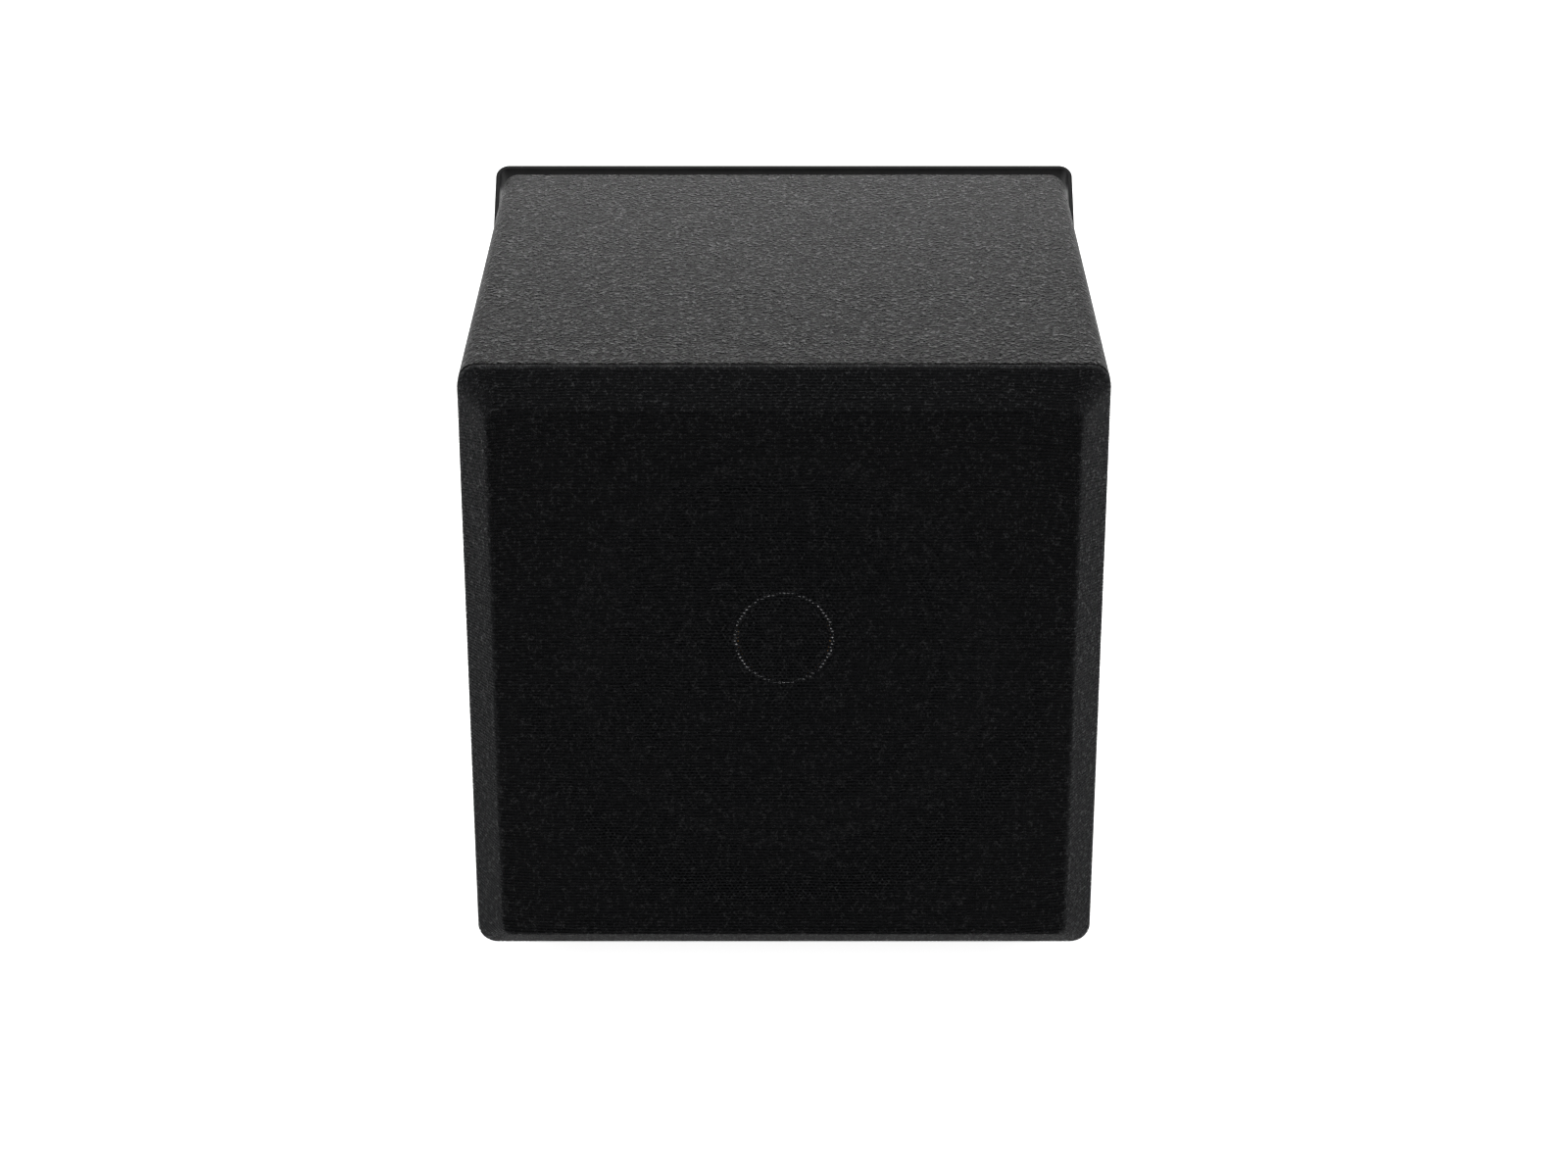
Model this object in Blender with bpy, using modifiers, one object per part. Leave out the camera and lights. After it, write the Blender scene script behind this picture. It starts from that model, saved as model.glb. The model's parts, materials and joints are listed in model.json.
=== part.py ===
"""A ten-inch subwoofer: a near-cubic cabinet with a cloth grille, hung in a swinging U-bracket.

The frame is +Z up with the front facing -Y. The origin is under the middle of the whole object,
on the plane that the feet stand on.
"""

import math

import bmesh
import bpy
from mathutils import Vector

# Driving dimensions, in metres
CABINET_WIDTH = 0.385
CABINET_HEIGHT = 0.385
CABINET_DEPTH = 0.373
PANEL = 0.018
BAFFLE = 0.025
EDGE_RADIUS = 0.011
RIM_BEVEL = 0.0015
GAP = 0.0003

FOOT_HEIGHT = 0.006
FOOT_RADIUS = 0.011
FOOT_INSET = 0.045

GRILLE_DEPTH = 0.030
GRILLE_STRAIGHT = 0.0075
GRILLE_CHAMFER_WIDTH = 0.018
GRILLE_CORNER_RADIUS = 0.012
GRILLE_FACE_RADIUS = 0.006
GRILLE_STANDOFF = 0.001
GRILLE_OPENING_RADIUS = 0.154
CLOTH = 0.0007
CLOTH_LIP = 0.010
PEG_RADIUS = 0.004
PEG_LENGTH = 0.014
PEG_OFFSET = 0.150
SOCKET_RADIUS = 0.008
SOCKET_LENGTH = 0.0165

BRACKET_REACH = 0.284
BRACKET_WIDTH = 0.025
BRACKET_STEEL = 0.003
BRACKET_BEND = 0.006
BRACKET_TILT = math.radians(38.9)
BRACKET_HOLE_RADIUS = 0.00425
BRACKET_HOLE_SPACING = 0.110
WASHER = 0.003
STUD_RADIUS = 0.004
INSERT_RADIUS = 0.007
INSERT_LENGTH = 0.016
KNOB_RADIUS = 0.017
KNOB_HEIGHT = 0.009

FLANGE_RADIUS = 0.1315
DRIVER_CUTOUT = 0.118
CONE_RADIUS = 0.0925
FORMER_RADIUS = 0.0291
REBATE_DEPTH = 0.008
SCREW_CIRCLE = 0.1265
SCREW_COUNT = 6
SCREW_HOLE_RADIUS = 0.0023
SCREW_LENGTH = 0.018

PORT_RADIUS = 0.0345
PORT_LENGTH = 0.118
PORT_WALL = 0.0025
CUP_HALF = 0.035
CUP_DEPTH = 0.024
CUP_WALL = 0.0025
CUP_FLANGE = 0.0025
POST_SPACING = 0.025
POST_RADIUS = 0.003
BOARD_THICKNESS = 0.0016

# Depths behind the cabinet's front rim
FLANGE_FRONT = 0.0035
CONE_RIM = 0.0100
CONE_BACK = 0.0345
CAP_DEPTH = 0.0440
PLATE_FRONT = 0.0720
PANEL_SKIN = 0.0005

# Positions that follow from them
HALF_WIDTH = CABINET_WIDTH / 2
HALF_HEIGHT = CABINET_HEIGHT / 2
BOTTOM_Z = FOOT_HEIGHT
TOP_Z = BOTTOM_Z + CABINET_HEIGHT
CENTRE_Z = BOTTOM_Z + HALF_HEIGHT
BRACKET_BACK = (
    CABINET_DEPTH / 2
    + (BRACKET_REACH + BRACKET_STEEL) * math.cos(BRACKET_TILT)
    + BRACKET_WIDTH / 2 * math.sin(BRACKET_TILT)
)
FRONT_Y = GRILLE_DEPTH - (GRILLE_DEPTH + BRACKET_BACK) / 2
BACK_Y = FRONT_Y + CABINET_DEPTH
PIVOT_Y = FRONT_Y + CABINET_DEPTH / 2
BRACKET_INNER = HALF_WIDTH + WASHER + 2 * GAP
BRACKET_OUTER = BRACKET_INNER + BRACKET_STEEL
PORT_Z = CENTRE_Z + 0.070
CUP_Z = CENTRE_Z - 0.085
TAG_Z = CENTRE_Z - 0.086
INSIDE_HALF = HALF_WIDTH - PANEL - GAP
BAFFLE_FRONT = FRONT_Y + PANEL_SKIN
BACK_FACE_Y = BACK_Y - PANEL_SKIN
CUP_BOTTOM_Y = BACK_FACE_Y + GAP + CUP_FLANGE - CUP_DEPTH
DRIVER_PLACE = (0, FRONT_Y, CENTRE_Z)

# How finely round shapes are divided
FINE = 40
MEDIUM = 28
COARSE = 18
SMALL = 12

FACING_BACK = (-math.pi / 2, 0, 0)
FACING_RIGHT = (0, math.pi / 2, 0)
FACING_LEFT = (0, -math.pi / 2, 0)


def clear_scene():
    for obj in list(bpy.data.objects):
        bpy.data.objects.remove(obj, do_unlink=True)


def new_collection(name):
    collection = bpy.data.collections.new(name)
    bpy.context.scene.collection.children.link(collection)
    return collection


def new_material(name, color, roughness, metallic=0.0):
    material = bpy.data.materials.new(name)
    material.use_nodes = True
    shader = material.node_tree.nodes["Principled BSDF"]
    shader.inputs["Base Color"].default_value = (*color, 1)
    shader.inputs["Roughness"].default_value = roughness
    shader.inputs["Metallic"].default_value = metallic
    return material


clear_scene()
PARTS = new_collection("subwoofer")
CUTTERS = new_collection("subwoofer_cutters")

CABINET_PAINT = new_material("cabinet_paint", (0.055, 0.055, 0.057), 0.62)
BAFFLE_BLACK = new_material("baffle_black", (0.012, 0.012, 0.013), 0.7)
GRILLE_FRAME = new_material("grille_frame", (0.015, 0.015, 0.015), 0.75)
GRILLE_CLOTH = new_material("grille_cloth", (0.012, 0.013, 0.014), 0.9)
BRACKET_PAINT = new_material("bracket_paint", (0.02, 0.02, 0.021), 0.4)
BLACK_PLASTIC = new_material("black_plastic", (0.018, 0.018, 0.018), 0.45)
RED_PLASTIC = new_material("red_plastic", (0.35, 0.02, 0.02), 0.4)
RUBBER = new_material("rubber", (0.02, 0.02, 0.02), 0.8)
CONE_PAPER = new_material("cone_paper", (0.03, 0.03, 0.032), 0.6)
BARE_STEEL = new_material("bare_steel", (0.5, 0.5, 0.5), 0.35, 1.0)
BRIGHT_TRIM = new_material("bright_trim", (0.7, 0.7, 0.72), 0.25, 1.0)
CAST_BASKET = new_material("cast_basket", (0.03, 0.03, 0.03), 0.5, 0.2)
FERRITE = new_material("ferrite", (0.06, 0.06, 0.065), 0.7)
BRASS = new_material("brass", (0.75, 0.55, 0.22), 0.3, 1.0)
COPPER = new_material("copper", (0.7, 0.33, 0.18), 0.35, 1.0)
SPIDER_CLOTH = new_material("spider_cloth", (0.45, 0.33, 0.12), 0.9)
FORMER_FILM = new_material("former_film", (0.35, 0.2, 0.08), 0.4)
WADDING = new_material("wadding", (0.75, 0.75, 0.73), 0.95)
CIRCUIT_BOARD = new_material("circuit_board", (0.03, 0.16, 0.07), 0.5)
WIRE_RED = new_material("wire_red", (0.4, 0.02, 0.02), 0.5)
WIRE_BLACK = new_material("wire_black", (0.015, 0.015, 0.015), 0.5)


def add_object(name, mesh, material, location=(0, 0, 0), rotation=(0, 0, 0), parent=None):
    """Place a mesh in the world, as a child of an unrotated empty if parent is given."""
    obj = bpy.data.objects.new(name, mesh)
    PARTS.objects.link(obj)
    mesh.materials.append(material)
    obj.parent = parent
    origin = parent.location if parent else Vector((0, 0, 0))
    obj.location = Vector(location) - origin
    obj.rotation_euler = rotation
    return obj


def add_pivot(name, location):
    pivot = bpy.data.objects.new(name, None)
    pivot.location = location
    PARTS.objects.link(pivot)
    return pivot


def mesh_from(name, bm):
    bmesh.ops.recalc_face_normals(bm, faces=bm.faces)
    mesh = bpy.data.meshes.new(name)
    bm.to_mesh(mesh)
    bm.free()
    return mesh


def shade_round(mesh, angle=math.radians(35)):
    mesh.shade_smooth()
    mesh.set_sharp_from_angle(angle=angle)


def block_mesh(name, size):
    bm = bmesh.new()
    bmesh.ops.create_cube(bm, size=1)
    bmesh.ops.scale(bm, vec=size, verts=bm.verts)
    return mesh_from(name, bm)


def bevel_where(obj, width, segments, chosen):
    """Bevel the edges whose middle and direction pass the test, by weight."""
    mesh = obj.data
    weights = mesh.attributes.new("bevel_weight_edge", "FLOAT", "EDGE")
    for edge in mesh.edges:
        first, second = (mesh.vertices[i].co for i in edge.vertices)
        weights.data[edge.index].value = chosen((first + second) / 2, (second - first).normalized())
    bevel = obj.modifiers.new("bevel", "BEVEL")
    bevel.limit_method = "WEIGHT"
    bevel.width = width
    bevel.segments = segments
    bevel.use_clamp_overlap = False


def block(name, low, high, material):
    low, high = Vector(low), Vector(high)
    return add_object(name, block_mesh(name, high - low), material, (low + high) / 2)


def turned(name, profile, steps, material, location, rotation=FACING_BACK, parent=None):
    """Turn a profile of (radius, height) points about the object's own Z axis.

    A profile that starts and ends on the axis stays open there; any other is closed into a ring.
    """
    area = sum(
        r0 * h1 - r1 * h0 for (r0, h0), (r1, h1) in zip(profile, profile[1:] + profile[:1])
    )
    points = profile if area < 0 else profile[::-1]
    bm = bmesh.new()
    verts = [bm.verts.new((radius, 0, height)) for radius, height in points]
    for first, second in zip(verts, verts[1:]):
        bm.edges.new((first, second))
    if points[0][0] > 0:
        bm.edges.new((verts[-1], verts[0]))
    mesh = bpy.data.meshes.new(name)
    bm.to_mesh(mesh)
    bm.free()
    obj = add_object(name, mesh, material, location, rotation, parent)
    screw = obj.modifiers.new("screw", "SCREW")
    screw.steps = steps
    screw.render_steps = steps
    screw.use_merge_vertices = True
    screw.merge_threshold = 0.00001
    screw.use_smooth_shade = True
    return obj


def tube(name, inner, outer, start, end, steps, material, location, rotation=FACING_BACK, parent=None):
    profile = [(outer, end), (outer, start), (inner, start), (inner, end)]
    return turned(name, profile, steps, material, location, rotation, parent)


def cut(obj, cutter, operation="DIFFERENCE"):
    boolean = obj.modifiers.new(cutter.name, "BOOLEAN")
    boolean.object = cutter
    boolean.operation = operation
    boolean.solver = "EXACT"


def add_cutter(name, mesh, location, rotation=(0, 0, 0), parent=None):
    cutter = bpy.data.objects.new(name, mesh)
    CUTTERS.objects.link(cutter)
    cutter.parent = parent
    origin = parent.location if parent else Vector((0, 0, 0))
    cutter.location = Vector(location) - origin
    cutter.rotation_euler = rotation
    cutter.hide_render = True
    cutter.display_type = "WIRE"
    return cutter


def cylinder_cutter(name, radius, length, steps, location, rotation=FACING_BACK, parent=None):
    bm = bmesh.new()
    bmesh.ops.create_cone(
        bm, cap_ends=True, segments=steps, radius1=radius, radius2=radius, depth=length
    )
    return add_cutter(name, mesh_from(name, bm), location, rotation, parent)


def rounded_outline(half, radius, corner_steps=6):
    """The points of a rounded square, anticlockwise in X and Z from its right side."""
    points = []
    for quarter in range(4):
        middle = math.radians(45 + 90 * quarter)
        centre_x = math.copysign(half - radius, math.cos(middle))
        centre_z = math.copysign(half - radius, math.sin(middle))
        for step in range(corner_steps + 1):
            angle = math.radians(90 * (quarter + step / corner_steps))
            points.append((centre_x + radius * math.cos(angle), centre_z + radius * math.sin(angle)))
    return points


def loft(name, rings, first_cap=True, last_cap=True):
    """Join rings of (outline, y) into a surface, with a flat cap at either end."""
    bm = bmesh.new()
    loops = [[bm.verts.new((x, y, z)) for x, z in outline] for outline, y in rings]
    for lower, upper in zip(loops, loops[1:]):
        for i, vert in enumerate(lower):
            j = (i + 1) % len(lower)
            bm.faces.new((vert, lower[j], upper[j], upper[i]))
    if first_cap:
        bm.faces.new(loops[0])
    if last_cap:
        bm.faces.new(loops[-1])
    return mesh_from(name, bm)


def smooth_route(knots, steps):
    """Points on a curve through the knots, with the same number of steps in each span."""
    knots = [Vector(knot) for knot in knots]
    padded = [2 * knots[0] - knots[1], *knots, 2 * knots[-1] - knots[-2]]
    points = []
    for a, b, c, d in zip(padded, padded[1:], padded[2:], padded[3:]):
        for step in range(steps):
            t = step / steps
            points.append(
                0.5 * (2 * b + (c - a) * t + (2 * a - 5 * b + 4 * c - d) * t**2)
                + 0.5 * (3 * b - a - 3 * c + d) * t**3
            )
    points.append(knots[-1])
    return points


def wire(name, points, radius, material):
    curve = bpy.data.curves.new(name, "CURVE")
    curve.dimensions = "3D"
    spline = curve.splines.new("POLY")
    spline.points.add(len(points) - 1)
    for target, point in zip(spline.points, points):
        target.co = (*point, 1)
    curve.bevel_depth = radius
    curve.bevel_resolution = 1
    curve.use_fill_caps = True
    obj = bpy.data.objects.new(name, curve)
    PARTS.objects.link(obj)
    curve.materials.append(material)
    return obj


# Cabinet


def long_outer_edges(sign):
    """Weights that round the panel's outer long edges and only ease its front and rear ones."""

    def weight(middle, direction):
        outer = abs(middle.z) > 0 and middle.z * sign > 0
        if outer and abs(direction.y) > 0.5:
            return 1.0
        ends = abs(middle.y) > CABINET_DEPTH / 2 - RIM_BEVEL
        return RIM_BEVEL / EDGE_RADIUS if outer and ends and abs(direction.x) > 0.5 else 0.0

    return weight


def make_horizontal_panel(name, low_z, sign):
    panel = block(
        name,
        (-HALF_WIDTH, FRONT_Y, low_z),
        (HALF_WIDTH, BACK_Y, low_z + PANEL),
        CABINET_PAINT,
    )
    bevel_where(panel, EDGE_RADIUS, 4, long_outer_edges(sign))
    return panel


def make_side_panel(name, side):
    near, far = sorted((side * HALF_WIDTH, side * (HALF_WIDTH - PANEL)))
    panel = block(
        name,
        (near, FRONT_Y, BOTTOM_Z + PANEL + GAP),
        (far, BACK_Y, TOP_Z - PANEL - GAP),
        CABINET_PAINT,
    )
    middle_x = side * (HALF_WIDTH - PANEL / 2)
    cut(
        panel,
        cylinder_cutter(
            name + "_insert_hole",
            INSERT_RADIUS + GAP,
            PANEL * 2,
            COARSE,
            (middle_x, PIVOT_Y, CENTRE_Z),
            FACING_RIGHT,
        ),
    )


def corner_positions(offset):
    return [(x * offset, CENTRE_Z + z * offset) for x in (-1, 1) for z in (-1, 1)]


def screw_positions():
    """Middles of the driver screws, evenly round their circle with one gap at the top."""
    for i in range(SCREW_COUNT):
        angle = 2 * math.pi * (i + 0.5) / SCREW_COUNT
        yield SCREW_CIRCLE * math.sin(angle), CENTRE_Z + SCREW_CIRCLE * math.cos(angle)


def make_front_baffle():
    baffle = block(
        "front_baffle",
        (-INSIDE_HALF, BAFFLE_FRONT, CENTRE_Z - INSIDE_HALF),
        (INSIDE_HALF, BAFFLE_FRONT + BAFFLE, CENTRE_Z + INSIDE_HALF),
        BAFFLE_BLACK,
    )
    cut(baffle, cylinder_cutter("driver_hole", DRIVER_CUTOUT, 0.1, FINE, (0, FRONT_Y, CENTRE_Z)))
    rebate_radius = FLANGE_RADIUS + 0.0015
    cut(
        baffle,
        cylinder_cutter(
            "driver_rebate", rebate_radius, REBATE_DEPTH * 2, FINE, (0, BAFFLE_FRONT, CENTRE_Z)
        ),
    )
    for i, (x, z) in enumerate(corner_positions(PEG_OFFSET)):
        hole = cylinder_cutter(
            f"socket_hole_{i + 1}",
            SOCKET_RADIUS + GAP,
            (SOCKET_LENGTH + GAP) * 2,
            COARSE,
            (x, BAFFLE_FRONT, z),
        )
        cut(baffle, hole)
    for i, (x, z) in enumerate(screw_positions()):
        hole = cylinder_cutter(
            f"baffle_screw_hole_{i + 1}",
            SCREW_HOLE_RADIUS,
            0.028,
            SMALL,
            (x, BAFFLE_FRONT + REBATE_DEPTH, z),
        )
        cut(baffle, hole)


def make_back_panel():
    panel = block(
        "back_panel",
        (-INSIDE_HALF, BACK_FACE_Y - PANEL, CENTRE_Z - INSIDE_HALF),
        (INSIDE_HALF, BACK_FACE_Y, CENTRE_Z + INSIDE_HALF),
        CABINET_PAINT,
    )
    port_hole = PORT_RADIUS + PORT_WALL + GAP
    cut(panel, cylinder_cutter("port_hole", port_hole, 0.08, MEDIUM, (0, BACK_FACE_Y, PORT_Z)))
    cup_outline = rounded_outline(CUP_HALF + GAP, 0.006, 3)
    cup_hole = loft("cup_hole", [(cup_outline, -0.04), (cup_outline, 0.04)])
    cut(panel, add_cutter("cup_hole", cup_hole, (0, BACK_FACE_Y, CUP_Z)))


def make_cross_brace():
    half = 0.025
    middle = PIVOT_Y
    block(
        "cross_brace",
        (-INSIDE_HALF, middle - half, CENTRE_Z - PANEL / 2),
        (INSIDE_HALF, middle + half, CENTRE_Z + PANEL / 2),
        BAFFLE_BLACK,
    )


def make_wadding():
    floor = BOTTOM_Z + PANEL + GAP
    block(
        "acoustic_wadding",
        (-0.150, FRONT_Y + 0.050, floor),
        (0.150, FRONT_Y + 0.290, floor + 0.025),
        WADDING,
    )


def make_feet():
    rise = FOOT_HEIGHT - GAP
    ease = 0.001
    profile = [
        (0, rise),
        (FOOT_RADIUS, rise),
        (FOOT_RADIUS, ease),
        (FOOT_RADIUS - ease, 0),
        (0, 0),
    ]
    spots = [
        (x * (HALF_WIDTH - FOOT_INSET), y)
        for y in (FRONT_Y + FOOT_INSET, BACK_Y - FOOT_INSET)
        for x in (-1, 1)
    ]
    for i, (x, y) in enumerate(spots):
        turned(f"foot_{i + 1}", profile, COARSE, RUBBER, (x, y, 0), (0, 0, 0))


# Port, terminals and crossover

def make_port():
    flange = 0.003
    lip = 0.011
    wall = PORT_RADIUS + PORT_WALL
    flare_start = 0.014
    profile = [
        (PORT_RADIUS, -PORT_LENGTH),
        (PORT_RADIUS, -flare_start),
        (PORT_RADIUS + 0.0008, 0),
        (PORT_RADIUS + 0.003, flange),
        (wall + lip - 0.001, flange),
        (wall + lip, flange - 0.001),
        (wall + lip, GAP),
        (wall, GAP),
        (wall, -PORT_LENGTH),
    ]
    turned("port_tube", profile, MEDIUM, BLACK_PLASTIC, (0, BACK_FACE_Y, PORT_Z))


def make_terminal_cup():
    rim = CUP_HALF + 0.010
    face = GAP + CUP_FLANGE
    rings = [
        (rounded_outline(rim, 0.006, 3), face),
        (rounded_outline(CUP_HALF - CUP_WALL, 0.005, 3), face),
        (rounded_outline(CUP_HALF - CUP_WALL - 0.001, 0.005, 3), face - CUP_DEPTH + CUP_WALL),
    ]
    mesh = loft("terminal_cup", rings, first_cap=False)
    cup = add_object("terminal_cup", mesh, BLACK_PLASTIC, (0, BACK_FACE_Y, CUP_Z))
    solidify = cup.modifiers.new("wall", "SOLIDIFY")
    solidify.thickness = CUP_WALL
    solidify.offset = -1
    solidify.use_even_offset = True
    for x in post_places():
        cut(cup, post_hole("cup", x))


def post_places():
    return (-POST_SPACING / 2, POST_SPACING / 2)


def post_hole(owner, x):
    side = "left" if x < 0 else "right"
    name = f"{owner}_post_hole_{side}"
    return cylinder_cutter(name, POST_RADIUS + GAP, 0.02, SMALL, (x, CUP_BOTTOM_Y, CUP_Z))


def make_binding_posts():
    inner_face = CUP_WALL + GAP
    collar = inner_face + 0.003
    tip = inner_face + 0.0175
    stud_end = -0.006
    stud = [
        (0, stud_end),
        (POST_RADIUS, stud_end),
        (POST_RADIUS, inner_face),
        (0.006, inner_face),
        (0.006, collar),
        (POST_RADIUS, collar),
        (POST_RADIUS, tip),
        (0, tip),
    ]
    bore = POST_RADIUS + 0.0004
    knob_start = collar + 0.0015
    knob_end = knob_start + 0.0125
    knob = [
        (0.0068, knob_start),
        (0.0075, knob_start + 0.001),
        (0.0075, knob_end - 0.003),
        (0.0060, knob_end),
        (bore, knob_end),
        (bore, knob_start),
    ]
    for i, x in enumerate(post_places()):
        place = (x, CUP_BOTTOM_Y, CUP_Z)
        turned(f"binding_post_{i + 1}", stud, COARSE, BRASS, place)
        pivot = add_pivot(f"binding_knob_{i + 1}_axis", place)
        material = (BLACK_PLASTIC, RED_PLASTIC)[i]
        turned(f"binding_knob_{i + 1}", knob, COARSE, material, place, parent=pivot)


def make_crossover():
    back = CUP_BOTTOM_Y - GAP
    front = back - BOARD_THICKNESS
    board = block(
        "crossover_board", (-0.052, front, CUP_Z - 0.034), (0.052, back, CUP_Z + 0.034), CIRCUIT_BOARD
    )
    for x in post_places():
        cut(board, post_hole("board", x))
    coil_place = (-0.034, front - GAP, CUP_Z)
    tube("crossover_coil", 0.006, 0.0155, -0.016, 0, COARSE, COPPER, coil_place)
    capacitor = 0.009
    can = [(0, 0.038), (capacitor, 0.038), (capacitor, 0), (0, 0)]
    can_place = (0.010, front - GAP - capacitor, CUP_Z + 0.020)
    turned("crossover_capacitor", can, COARSE, BLACK_PLASTIC, can_place, FACING_RIGHT)


def make_driver_leads():
    """Two leads hang from the driver's tag strip and rise to the crossover board."""
    board_y = CUP_BOTTOM_Y - GAP - BOARD_THICKNESS - GAP
    for i, (side, material) in enumerate(((-1, WIRE_BLACK), (1, WIRE_RED))):
        knots = [
            (side * 0.007, FRONT_Y + 0.0700, TAG_Z),
            (side * 0.008, FRONT_Y + 0.0850, TAG_Z - 0.003),
            (side * 0.012, FRONT_Y + 0.1300, TAG_Z - 0.026),
            (side * 0.020, FRONT_Y + 0.2000, TAG_Z - 0.046),
            (side * 0.032, FRONT_Y + 0.2700, TAG_Z - 0.050),
            (side * 0.044, FRONT_Y + 0.3200, CUP_Z - 0.036),
            (side * 0.046, board_y - 0.0080, CUP_Z - 0.029),
            (side * 0.046, board_y, CUP_Z - 0.028),
        ]
        wire(f"driver_lead_{i + 1}", smooth_route(knots, 3), 0.0012, material)


# Driver, in depths behind the cabinet's front rim

def make_basket():
    flange_back = PANEL_SKIN + REBATE_DEPTH - GAP
    profile = [
        (FLANGE_RADIUS, FLANGE_FRONT),
        (FLANGE_RADIUS, flange_back),
        (DRIVER_CUTOUT - 0.0008, flange_back),
        (DRIVER_CUTOUT - 0.0030, 0.0300),
        (0.0800, 0.0560),
        (0.0740, PLATE_FRONT - GAP),
        (0.0440, PLATE_FRONT - GAP),
        (0.0440, 0.0690),
        (0.0620, 0.0690),
        (0.0620, 0.0590),
        (0.0765, 0.0590),
        (0.0770, 0.0555),
        (0.1120, 0.0290),
        (0.1140, 0.0062),
        (0.1165, FLANGE_FRONT),
    ]
    basket = turned("driver_basket", profile, FINE, CAST_BASKET, DRIVER_PLACE)
    window = (0.058, 0.022, 0.060)
    window_radius = 0.105
    window_depth = 0.0405
    for i in range(SCREW_COUNT):
        angle = 2 * math.pi * i / SCREW_COUNT
        place = (
            window_radius * math.sin(angle),
            FRONT_Y + window_depth,
            CENTRE_Z + window_radius * math.cos(angle),
        )
        name = f"basket_window_{i + 1}"
        cut(basket, add_cutter(name, block_mesh(name, window), place, (0, angle, 0)))
    for i, (x, z) in enumerate(screw_positions()):
        name = f"flange_screw_hole_{i + 1}"
        cut(basket, cylinder_cutter(name, SCREW_HOLE_RADIUS, 0.02, SMALL, (x, FRONT_Y, z)))
    block(
        "driver_tag_strip",
        (-0.014, FRONT_Y + 0.0580, TAG_Z - 0.006),
        (0.014, FRONT_Y + 0.0697, TAG_Z + 0.006),
        BLACK_PLASTIC,
    )


def make_driver_screws():
    head_height = 0.0024
    head_top = FLANGE_FRONT - GAP - head_height
    head = 0.0040
    shank = 0.0020
    profile = [
        (0, head_top),
        (head * 0.7, head_top),
        (head, head_top + 0.0012),
        (head, head_top + head_height),
        (shank, head_top + head_height),
        (shank, head_top + SCREW_LENGTH),
        (0, head_top + SCREW_LENGTH + 0.002),
    ]
    for i, (x, z) in enumerate(screw_positions()):
        turned(f"driver_screw_{i + 1}", profile, SMALL, BARE_STEEL, (x, FRONT_Y, z))


def make_motor():
    plate_back = PLATE_FRONT + 0.008
    magnet_back = plate_back + GAP + 0.020
    tube("driver_top_plate", 0.0323, 0.0680, PLATE_FRONT, plate_back, MEDIUM, BARE_STEEL, DRIVER_PLACE)
    tube(
        "driver_magnet", 0.0450, 0.0750, plate_back + GAP, magnet_back, MEDIUM, FERRITE, DRIVER_PLACE
    )
    yoke_front = magnet_back + GAP
    yoke = [
        (0.0273, PLATE_FRONT),
        (0.0273, yoke_front),
        (0.0720, yoke_front),
        (0.0720, yoke_front + 0.008),
        (0.0120, yoke_front + 0.008),
        (0.0120, PLATE_FRONT),
    ]
    turned("driver_yoke", yoke, MEDIUM, BARE_STEEL, DRIVER_PLACE)


def wave(inner, outer, middle, height, waves, per_wave):
    """Radius and depth along a corrugated disc that ends flat at both edges."""
    count = waves * per_wave
    points = []
    for i in range(count + 1):
        share = i / count
        depth = middle + height * math.sin(2 * math.pi * waves * share)
        points.append((inner + (outer - inner) * share, depth))
    return points


def thickened(points, thickness):
    """A closed profile from an open one and its copy pushed back by the thickness."""
    return points + [(radius, depth + thickness) for radius, depth in reversed(points)]


def make_moving_parts(pivot):
    neck = FORMER_RADIUS + 2 * GAP
    cone_line = []
    for i in range(4):
        share = i / 3
        radius = CONE_RADIUS + (neck - CONE_RADIUS) * share
        depth = CONE_RIM + (CONE_BACK - CONE_RIM) * share**1.12
        cone_line.append((radius, depth))
    turned("driver_cone", thickened(cone_line, 0.001), FINE, CONE_PAPER, DRIVER_PLACE, parent=pivot)
    ring = [(0.0288, 0.0316), (0.0315, 0.0316), (0.0313, 0.0331), (0.0288, 0.0331)]
    turned("driver_cap_ring", ring, FINE, BRIGHT_TRIM, DRIVER_PLACE, parent=pivot)
    dish = [
        (0, CAP_DEPTH),
        (0.0173, CAP_DEPTH),
        (0.0268, 0.0325),
        (0.0281, 0.0325),
        (0.0281, 0.0342),
        (0.0180, CAP_DEPTH + 0.001),
        (0, CAP_DEPTH + 0.001),
    ]
    turned("driver_dust_cap", dish, MEDIUM, CONE_PAPER, DRIVER_PLACE, parent=pivot)
    tube(
        "voice_coil_former",
        FORMER_RADIUS - 0.0006,
        FORMER_RADIUS,
        CONE_BACK - 0.0005,
        0.0870,
        MEDIUM,
        FORMER_FILM,
        DRIVER_PLACE,
        parent=pivot,
    )
    coil = FORMER_RADIUS + GAP
    tube(
        "voice_coil", coil, coil + 0.0014, 0.0660, 0.0860, MEDIUM, COPPER, DRIVER_PLACE, parent=pivot
    )


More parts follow.
